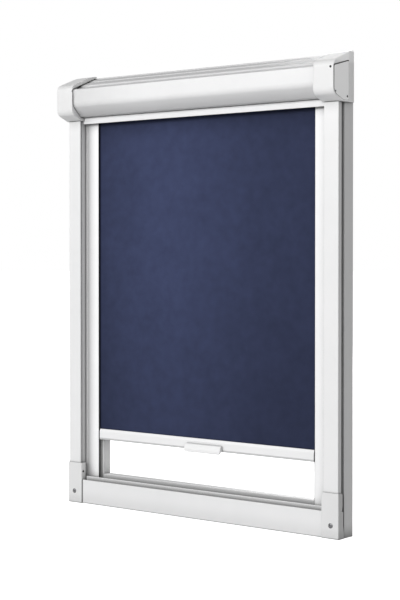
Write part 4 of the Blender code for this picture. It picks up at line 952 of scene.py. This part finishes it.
class ClothRecipe(Recipe):
    """A thin closed sheet on a grid, with its map in metres. Subclasses lay the grid out.

    Attributes:
        WELD: How near points have to be to become one, in metres.
    """

    WELD = 0.01 * MM

    def __init__(self, name: str, inputs: dict[str, str]) -> None:
        """Make the tree.

        Args:
            name: The tree's name.
            inputs: Socket types of the inputs that the layout needs.
        """
        common = {"Width": FLOAT, "Length": FLOAT, "Columns": INTEGER, "Rows": INTEGER,
                  "Thickness": FLOAT, "Face": MATERIAL, "Lining": MATERIAL, "Seed": FLOAT}
        super().__init__(name, common | inputs)
        graph, entry = self.graph, self.entry
        grid = graph.add("GeometryNodeMeshGrid", {
            "Size X": entry["Width"], "Size Y": entry["Length"], "Vertices X": entry["Columns"],
            "Vertices Y": entry["Rows"]})
        metres = graph.vector("MULTIPLY", grid.outputs["UV Map"],
                              graph.point(entry["Width"], entry["Length"]))
        mapped = graph.add("GeometryNodeStoreNamedAttribute",
                           {"Geometry": grid.outputs["Mesh"], "Name": "UVMap", "Value": metres},
                           data_type="FLOAT2", domain="CORNER")
        laid = graph.add("GeometryNodeSetPosition",
                         {"Geometry": mapped.outputs[0], "Position": self.layout()})
        shell = graph.add("GeometryNodeExtrudeMesh",
                          {"Mesh": laid.outputs[0], "Offset Scale": entry["Thickness"],
                           "Individual": False}, mode="FACES")
        under = graph.add("GeometryNodeFlipFaces", {"Mesh": laid.outputs[0]})
        joined = graph.add("GeometryNodeJoinGeometry")
        for part in (shell.outputs["Mesh"], under.outputs[0]):
            graph.feed(joined.inputs[0], part)
        closed = graph.add("GeometryNodeMergeByDistance",
                           {"Geometry": joined.outputs[0], "Distance": self.WELD})
        real = graph.add("GeometryNodeRealizeInstances", {0: closed.outputs[0]})
        faced = graph.add("GeometryNodeSetMaterial",
                          {0: real.outputs[0], "Material": entry["Face"]})
        lined = graph.add("GeometryNodeSetMaterial",
                          {0: faced.outputs[0], "Selection": self.lined_faces(),
                           "Material": entry["Lining"]})
        graph.feed(self.exit["Geometry"], lined.outputs[0])

    def layout(self) -> Socket:
        """Where each point of the grid goes."""
        raise NotImplementedError

    def lined_faces(self) -> Socket:
        """Which faces have the lining."""
        raise NotImplementedError

    def spot(self) -> Socket:
        """Place of a point or a face."""
        return self.graph.add("GeometryNodeInputPosition").outputs[0]

    def normal(self) -> Socket:
        """Direction in which a face looks."""
        return self.graph.add("GeometryNodeInputNormal").outputs[0]


class HangingCloth(ClothRecipe):
    """The sheet between the bar and the roller, pulled straight, with faint tension waves.

    Attributes:
        WAVES: Tension waves a metre, across and along the sheet.
        REARWARD: How far to the rear a face has to look to have the lining.
    """

    WAVES = (7.0, 2.2)
    REARWARD = 0.5

    def __init__(self) -> None:
        """Make the tree."""
        super().__init__("hanging_cloth", {"Plane": FLOAT, "Foot": FLOAT, "Wave": FLOAT})

    def layout(self) -> Socket:
        """Stand the grid up and give it its waves.

        Returns:
            The socket of the place.
        """
        graph, entry = self.graph, self.entry
        place = graph.parts(self.spot())
        across, along = place[0], place[1]
        height = graph.math("ADD", graph.math("ADD", along, entry["Foot"]),
                            graph.math("MULTIPLY", entry["Length"], 0.5))
        spread = graph.point(graph.math("MULTIPLY", across, self.WAVES[0]),
                             z=graph.math("MULTIPLY", along, self.WAVES[1]))
        waves = graph.add("ShaderNodeTexNoise",
                          {"Vector": spread, "W": entry["Seed"], "Scale": 1.0, "Detail": 1.0},
                          noise_dimensions="4D")
        lift = graph.math("MULTIPLY", graph.math("SUBTRACT", waves.outputs[0], 0.5),
                          entry["Wave"])
        return graph.point(across, graph.math("ADD", entry["Plane"], lift), height)

    def lined_faces(self) -> Socket:
        """The faces that look to the rear."""
        return self.graph.math("GREATER_THAN", self.graph.parts(self.normal())[1], self.REARWARD)


class WoundCloth(ClothRecipe):
    """The turns of the sheet that stay on the roller, as one spiral.

    Attributes:
        OUTWARD: How far along its normal, from the axis, a face lies to have the lining.
    """

    OUTWARD = 5 * MM

    def __init__(self) -> None:
        """Make the tree."""
        super().__init__("wound_cloth", {"Axis Y": FLOAT, "Axis Z": FLOAT, "Radius": FLOAT,
                                         "Growth": FLOAT, "Turns": FLOAT})

    def layout(self) -> Socket:
        """Lay the grid on a spiral that ends at the rear, where the sheet leaves.

        Returns:
            The socket of the place.
        """
        graph, entry = self.graph, self.entry
        place = graph.parts(self.spot())
        share = graph.math("ADD", graph.math("DIVIDE", place[1], entry["Length"]), 0.5)
        left = graph.math("MULTIPLY", graph.math("SUBTRACT", 1.0, share), entry["Turns"])
        turn = graph.math("MULTIPLY", left, math.tau)
        radius = graph.math("MULTIPLY_ADD", share, entry["Growth"], entry["Radius"])
        depth = graph.math("MULTIPLY_ADD", graph.math("COSINE", turn), radius, entry["Axis Y"])
        height = graph.math("MULTIPLY_ADD", graph.math("SINE", turn), radius, entry["Axis Z"])
        return graph.point(place[0], depth, height)

    def lined_faces(self) -> Socket:
        """The faces that look out of the roll, as the sheet hangs from its rear.

        Returns:
            The socket of the selection.
        """
        graph, entry = self.graph, self.entry
        centre = graph.point(y=entry["Axis Y"], z=entry["Axis Z"])
        flat = graph.vector("MULTIPLY", graph.vector("SUBTRACT", self.spot(), centre),
                            (0.0, 1.0, 1.0))
        outward = graph.vector("DOT_PRODUCT", flat, self.normal(), result="Value")
        return graph.math("GREATER_THAN", outward, self.OUTWARD)


@dataclass
class SideFrame:
    """The side rails, the bottom rail, the corner brackets and their screws."""

    finishes: Finishes

    def build(self) -> None:
        """Dress every piece of the frame."""
        for side in Side:
            dress_node(f"side_rail_{side.value}", self.finishes.rail)
            dress_node(f"corner_bracket_{side.value}", self.finishes.corner)
            dress_node(f"bracket_screw_{side.value}", self.finishes.steel)
        dress_node("bottom_rail", self.finishes.sill)


@dataclass
class Head:
    """The head profile, its cover, the strip, the end caps and what they carry."""

    finishes: Finishes

    def build(self) -> None:
        """Dress every piece of the head."""
        dress_node("head_cover", self.finishes.beam)
        dress_node("exit_strip", self.finishes.strip)
        dress_node("head_profile", self.finishes.ribbed)
        for side in Side:
            dress_node(f"end_cap_{side.value}", self.finishes.cap)
            dress_node(f"cap_panel_{side.value}", self.finishes.panel)
            dress_node(f"bearing_plate_{side.value}", self.finishes.steel)
            for place in ("rear", "front"):
                dress_node(f"cap_screw_{side.value}_{place}", self.finishes.steel)


@dataclass
class Roller:
    """The tube, its plugs, shaft, spring and pin, and the cloth wound on the tube.

    Attributes:
        finishes: The finishes.
        thickness: Thickness of the cloth, in metres.
        turns: Turns of cloth on the tube.
        step: What each turn adds to the radius, in metres.
        gap: Room between the tube and the first turn, in metres.
        columns: Points of the cloth's grid across it.
        rows: Points of its grid along it.
    """

    finishes: Finishes
    thickness: float = 0.33 * MM
    turns: float = 1.5
    step: float = 0.34 * MM
    gap: float = 0.32 * MM
    columns: int = 3
    rows: int = 121

    def build(self) -> None:
        """Dress the hard pieces and wind the cloth."""
        dress_node("roller_tube", self.finishes.tube)
        for node in ("spring_plug", "idle_plug"):
            dress_node(node, self.finishes.grey_moulding)
        for node in ("spring_shaft", "idle_pin", "wind_up_spring"):
            dress_node(node, self.finishes.steel)
        self.wind()

    def wind(self) -> None:
        """Replace the plain roll with a spiral of cloth."""
        low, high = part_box("fabric_roll")
        tube_low, tube_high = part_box("roller_tube")
        radius = (tube_high.z - tube_low.z) / 2 + self.gap
        roll = WoundCloth().bake(
            "cloth_roll", Width=high.x - low.x, Length=math.tau * radius * self.turns,
            Columns=self.columns, Rows=self.rows, Thickness=self.thickness,
            Face=self.finishes.cloth, Lining=self.finishes.lining, Seed=0.0,
            Axis_Y=(low.y + high.y) / 2, Axis_Z=(low.z + high.z) / 2, Radius=radius,
            Growth=self.turns * self.step, Turns=self.turns)
        smooth(roll)
        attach(roll, "roller")
        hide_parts("fabric_roll")
        LOG.info("cloth_roll wound with %.1f turns", self.turns)


@dataclass
class Blind:
    """The navy sheet on the frame, and a strip inside it, which the bar carries.

    Attributes:
        finishes: The finishes.
        thickness: Thickness of the sheet, in metres.
        wave: Depth of its tension waves, in metres.
        seed: Place in the waves' noise.
        columns: Points of each grid across it.
        rows: Points of the sheet's grid along it.
        foot_gap: Distance of both from the CAD sheet's lower end, in metres.
        strip_thickness: Thickness of the strip, in metres.
        strip_inset: How much narrower the strip is on each side, in metres.
        strip_length: Length of the strip, in metres.
        strip_rows: Points of the strip's grid along it.
        strip_keep: Share of its length that the strip keeps at the limits; not used.
    """

    finishes: Finishes
    thickness: float = 0.44 * MM
    wave: float = 0.5 * MM
    seed: float = 4.0
    columns: int = 90
    rows: int = 100
    foot_gap: float = 0.2 * MM
    strip_thickness: float = 0.2 * MM
    strip_inset: float = 1 * MM
    strip_length: float = 150 * MM
    strip_rows: int = 26
    strip_keep: float = 0.3

    def build(self) -> None:
        low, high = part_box("fabric_sheet")
        foot, top = low.z + self.foot_gap, high.z
        middle = (low.y + high.y) / 2
        width, length = high.x - low.x, top - foot
        strip_width = width - 2 * self.strip_inset
        recipe = HangingCloth()
        common = {"Columns": self.columns, "Face": self.finishes.cloth,
                  "Lining": self.finishes.lining, "Seed": self.seed, "Foot": foot}
        sheet = recipe.bake("blackout_sheet", Width=width, Length=length, Rows=self.rows,
                            Thickness=self.thickness, Plane=middle + self.thickness / 2,
                            Wave=self.wave, **common)
        strip = recipe.bake("sheet_foot", Width=strip_width, Length=self.strip_length,
                            Rows=self.strip_rows, Thickness=self.strip_thickness,
                            Plane=middle + self.strip_thickness / 2, Wave=0.0, **common)
        for piece in (sheet, strip):
            smooth(piece)
        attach(sheet, "frame")
        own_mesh(sheet)
        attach(strip, "bar")
        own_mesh(strip)
        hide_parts("fabric_sheet")
        LOG.info("sheet_foot hung: %.1f x %.1f mm", strip_width / MM, self.strip_length / MM)


@dataclass
class PullBar:
    """The bar, its grip, the hem rod, the glides and the felt pads.

    Attributes:
        finishes: The finishes.
        felt_round: Radius of a pad's edges, in metres.
        felt_steps: Faces across each of those rounds.
        felt_profile: Fullness of the rounds, 0.5 being circular.
        felt_cuts: Cuts in each long edge, for the fuzz.
        felt_fuzz: Height of the fuzz, in metres.
        felt_grain: Size of the fuzz, in metres.
    """

    finishes: Finishes
    felt_round: float = 0.5 * MM
    felt_steps: int = 3
    felt_profile: float = 0.6
    felt_cuts: int = 9
    felt_fuzz: float = 0.08 * MM
    felt_grain: float = 0.4 * MM

    def build(self) -> None:
        """Dress the hard pieces and make the felt pads."""
        dress_node("bottom_bar", self.finishes.bar)
        dress_node("pull_handle", self.finishes.grip)
        dress_node("bar_keder", self.finishes.grey_moulding)
        for side in Side:
            dress_node(f"bar_glide_{side.value}", self.finishes.grey_moulding)
            self.pad(side)

    def pad(self, side: Side) -> None:
        """Replace a plain pad with a felt one.

        Args:
            side: Which end of the bar.
        """
        node = f"brake_pad_{side.value}"
        low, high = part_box(node)
        size = high - low - Vector((self.felt_fuzz,) * 3) * 2
        place = Matrix.Translation((low + high) / 2) @ Matrix.Diagonal((*size, 1.0))
        shape = bmesh.new()
        bmesh.ops.create_cube(shape, size=1.0)
        bmesh.ops.transform(shape, verts=shape.verts, matrix=place)
        bmesh.ops.bevel(shape, geom=shape.edges[:], offset=self.felt_round,
                        segments=self.felt_steps, profile=self.felt_profile, affect="EDGES")
        edges = [edge for edge in shape.edges if edge.calc_length() > MM]
        bmesh.ops.subdivide_edges(shape, edges=edges, cuts=self.felt_cuts, use_grid_fill=True)
        bmesh.ops.triangulate(shape, faces=shape.faces)
        shape.normal_update()
        for vert in shape.verts:
            vert.co += vert.normal * noise.noise(vert.co / self.felt_grain) * self.felt_fuzz
        mesh = bpy.data.meshes.new(node)
        shape.to_mesh(mesh)
        shape.free()
        mesh.materials.append(self.finishes.felt)
        mesh.shade_smooth()
        pad = link(f"felt_pad_{side.value}", mesh)
        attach(pad, "bar")
        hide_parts(node)
        LOG.info("%s made", pad.name)


@dataclass(frozen=True)
class Lamp:
    """A soft rectangular light that looks at the middle of the blind.

    Attributes:
        name: Its name.
        place: Where it stands, in metres.
        size: Its width and height, in metres.
        power: Its power, in watts.
        aim: What it looks at, in metres.
    """

    name: str
    place: Point
    size: Pair
    power: float
    aim: Point = (0.0, 0.0, 0.4)

    def build(self) -> None:
        """Make the light."""
        data = bpy.data.lights.new(self.name, "AREA")
        data.shape = "RECTANGLE"
        data.size, data.size_y = self.size
        data.energy = self.power
        lamp = bpy.data.objects.new(self.name, data)
        lamp.location = self.place
        view = Vector(self.aim) - Vector(self.place)
        lamp.rotation_euler = view.to_track_quat("-Z", "Y").to_euler()
        bpy.context.collection.objects.link(lamp)


@dataclass
class Studio:
    """Pale floor, soft lights and the camera at the photograph's place.

    Attributes:
        focal_pixels: Focal length in pixels of the photograph's frame.
        frame_height: Height of that frame, in pixels.
        sensor: Height of the camera's sensor, in millimetres.
        yaw: Turn of the camera to the left, in degrees.
        pitch: Turn of the camera upwards, in degrees.
        place: Where the camera stands, in metres.
        shift: Its vertical shift, as a share of the frame's height.
        ambient: Light from the surroundings, as a share of what the camera sees of them.
        floor_radius: Radius of the floor, in metres.
        floor_sides: Sides of its outline.
        floor_gap: Room under the brackets, in metres.
        floor_grey: Its base colour.
        floor_roughness: Its roughness.
        lamps: The lights.
    """

    focal_pixels: float = 1528.14
    frame_height: int = 600
    sensor: float = 36.0
    yaw: float = 39.779
    pitch: float = -0.8402
    place: Point = (1.7145, -2.085, 0.4347)
    shift: float = -0.0379
    ambient: float = 0.15
    floor_radius: float = 40.0
    floor_sides: int = 96
    floor_gap: float = 0.2 * MM
    floor_grey: float = 0.75
    floor_roughness: float = 0.9
    lamps: tuple[Lamp, ...] = (
        Lamp("key", (-3.2, -5.0, 2.7), (3.0, 2.2), 119.0),
        Lamp("front", (1.0, -5.6, 2.5), (3.0, 2.0), 182.0),
        Lamp("side", (3.4, -0.65, 1.7), (1.7, 1.7), 33.0),
        Lamp("rear", (-1.6, 4.0, 2.2), (2.4, 2.0), 100.0))

    def build(self) -> None:
        """Make the floor, the lights and the camera."""
        self.make_world()
        self.make_floor()
        for lamp in self.lamps:
            lamp.build()
        self.make_camera()
        bpy.context.scene.view_settings.view_transform = "Standard"

    def make_world(self) -> None:
        """White surroundings that give less light than they show."""
        world = bpy.data.worlds.new("studio")
        world.use_nodes = True
        bpy.context.scene.world = world
        graph = Graph(world.node_tree)
        seen = graph.add("ShaderNodeLightPath").outputs["Is Camera Ray"]
        strength = graph.remap(seen, 0.0, 1.0, self.ambient, 1.0)
        graph.fill(world.node_tree.nodes["Background"],
                   {"Color": (1.0, 1.0, 1.0, 1.0), "Strength": strength})

    def make_floor(self) -> None:
        """A wide pale floor under the brackets, which the camera sees as white."""
        shape = bmesh.new()
        bmesh.ops.create_circle(shape, cap_ends=True, segments=self.floor_sides,
                                radius=self.floor_radius)
        bmesh.ops.translate(shape, verts=shape.verts, vec=(0, 0, CAD_BOX[0][2] - self.floor_gap))
        mesh = bpy.data.meshes.new("floor")
        shape.to_mesh(mesh)
        shape.free()
        material = bpy.data.materials.new("pale_floor")
        material.use_nodes = True
        graph = Graph(material.node_tree)
        seen = graph.add("ShaderNodeLightPath").outputs["Is Camera Ray"]
        graph.fill(material.node_tree.nodes["Principled BSDF"],
                   {"Base Color": (*(self.floor_grey,) * 3, 1.0),
                    "Roughness": self.floor_roughness, "Emission Color": (1.0, 1.0, 1.0, 1.0),
                    "Emission Strength": seen})
        mesh.materials.append(material)
        link("floor", mesh)

    def make_camera(self) -> None:
        """The camera, from its place, yaw and pitch."""
        data = bpy.data.cameras.new("camera")
        data.sensor_fit = "VERTICAL"
        data.sensor_height = self.sensor
        data.lens = self.focal_pixels * self.sensor / self.frame_height
        data.shift_y = self.shift
        yaw, pitch = math.radians(self.yaw), math.radians(self.pitch)
        view = Vector((-math.sin(yaw) * math.cos(pitch), math.cos(yaw) * math.cos(pitch),
                       math.sin(pitch)))
        right = Vector((math.cos(yaw), math.sin(yaw), 0.0))
        up = right.cross(view)
        camera = bpy.data.objects.new("camera", data)
        turned = Matrix((right, up, -view)).transposed().to_4x4()
        camera.matrix_world = Matrix.Translation(self.place) @ turned
        bpy.context.collection.objects.link(camera)
        bpy.context.scene.camera = camera


def main() -> None:
    """Build the looks of the blind, sub-assembly by sub-assembly."""
    logging.basicConfig(level=logging.INFO, format="%(message)s")
    finishes = Finishes()
    Studio().build()
    SideFrame(finishes).build()
    Head(finishes).build()
    Roller(finishes).build()
    Blind(finishes).build()
    PullBar(finishes).build()


if __name__ == "__main__":
    main()
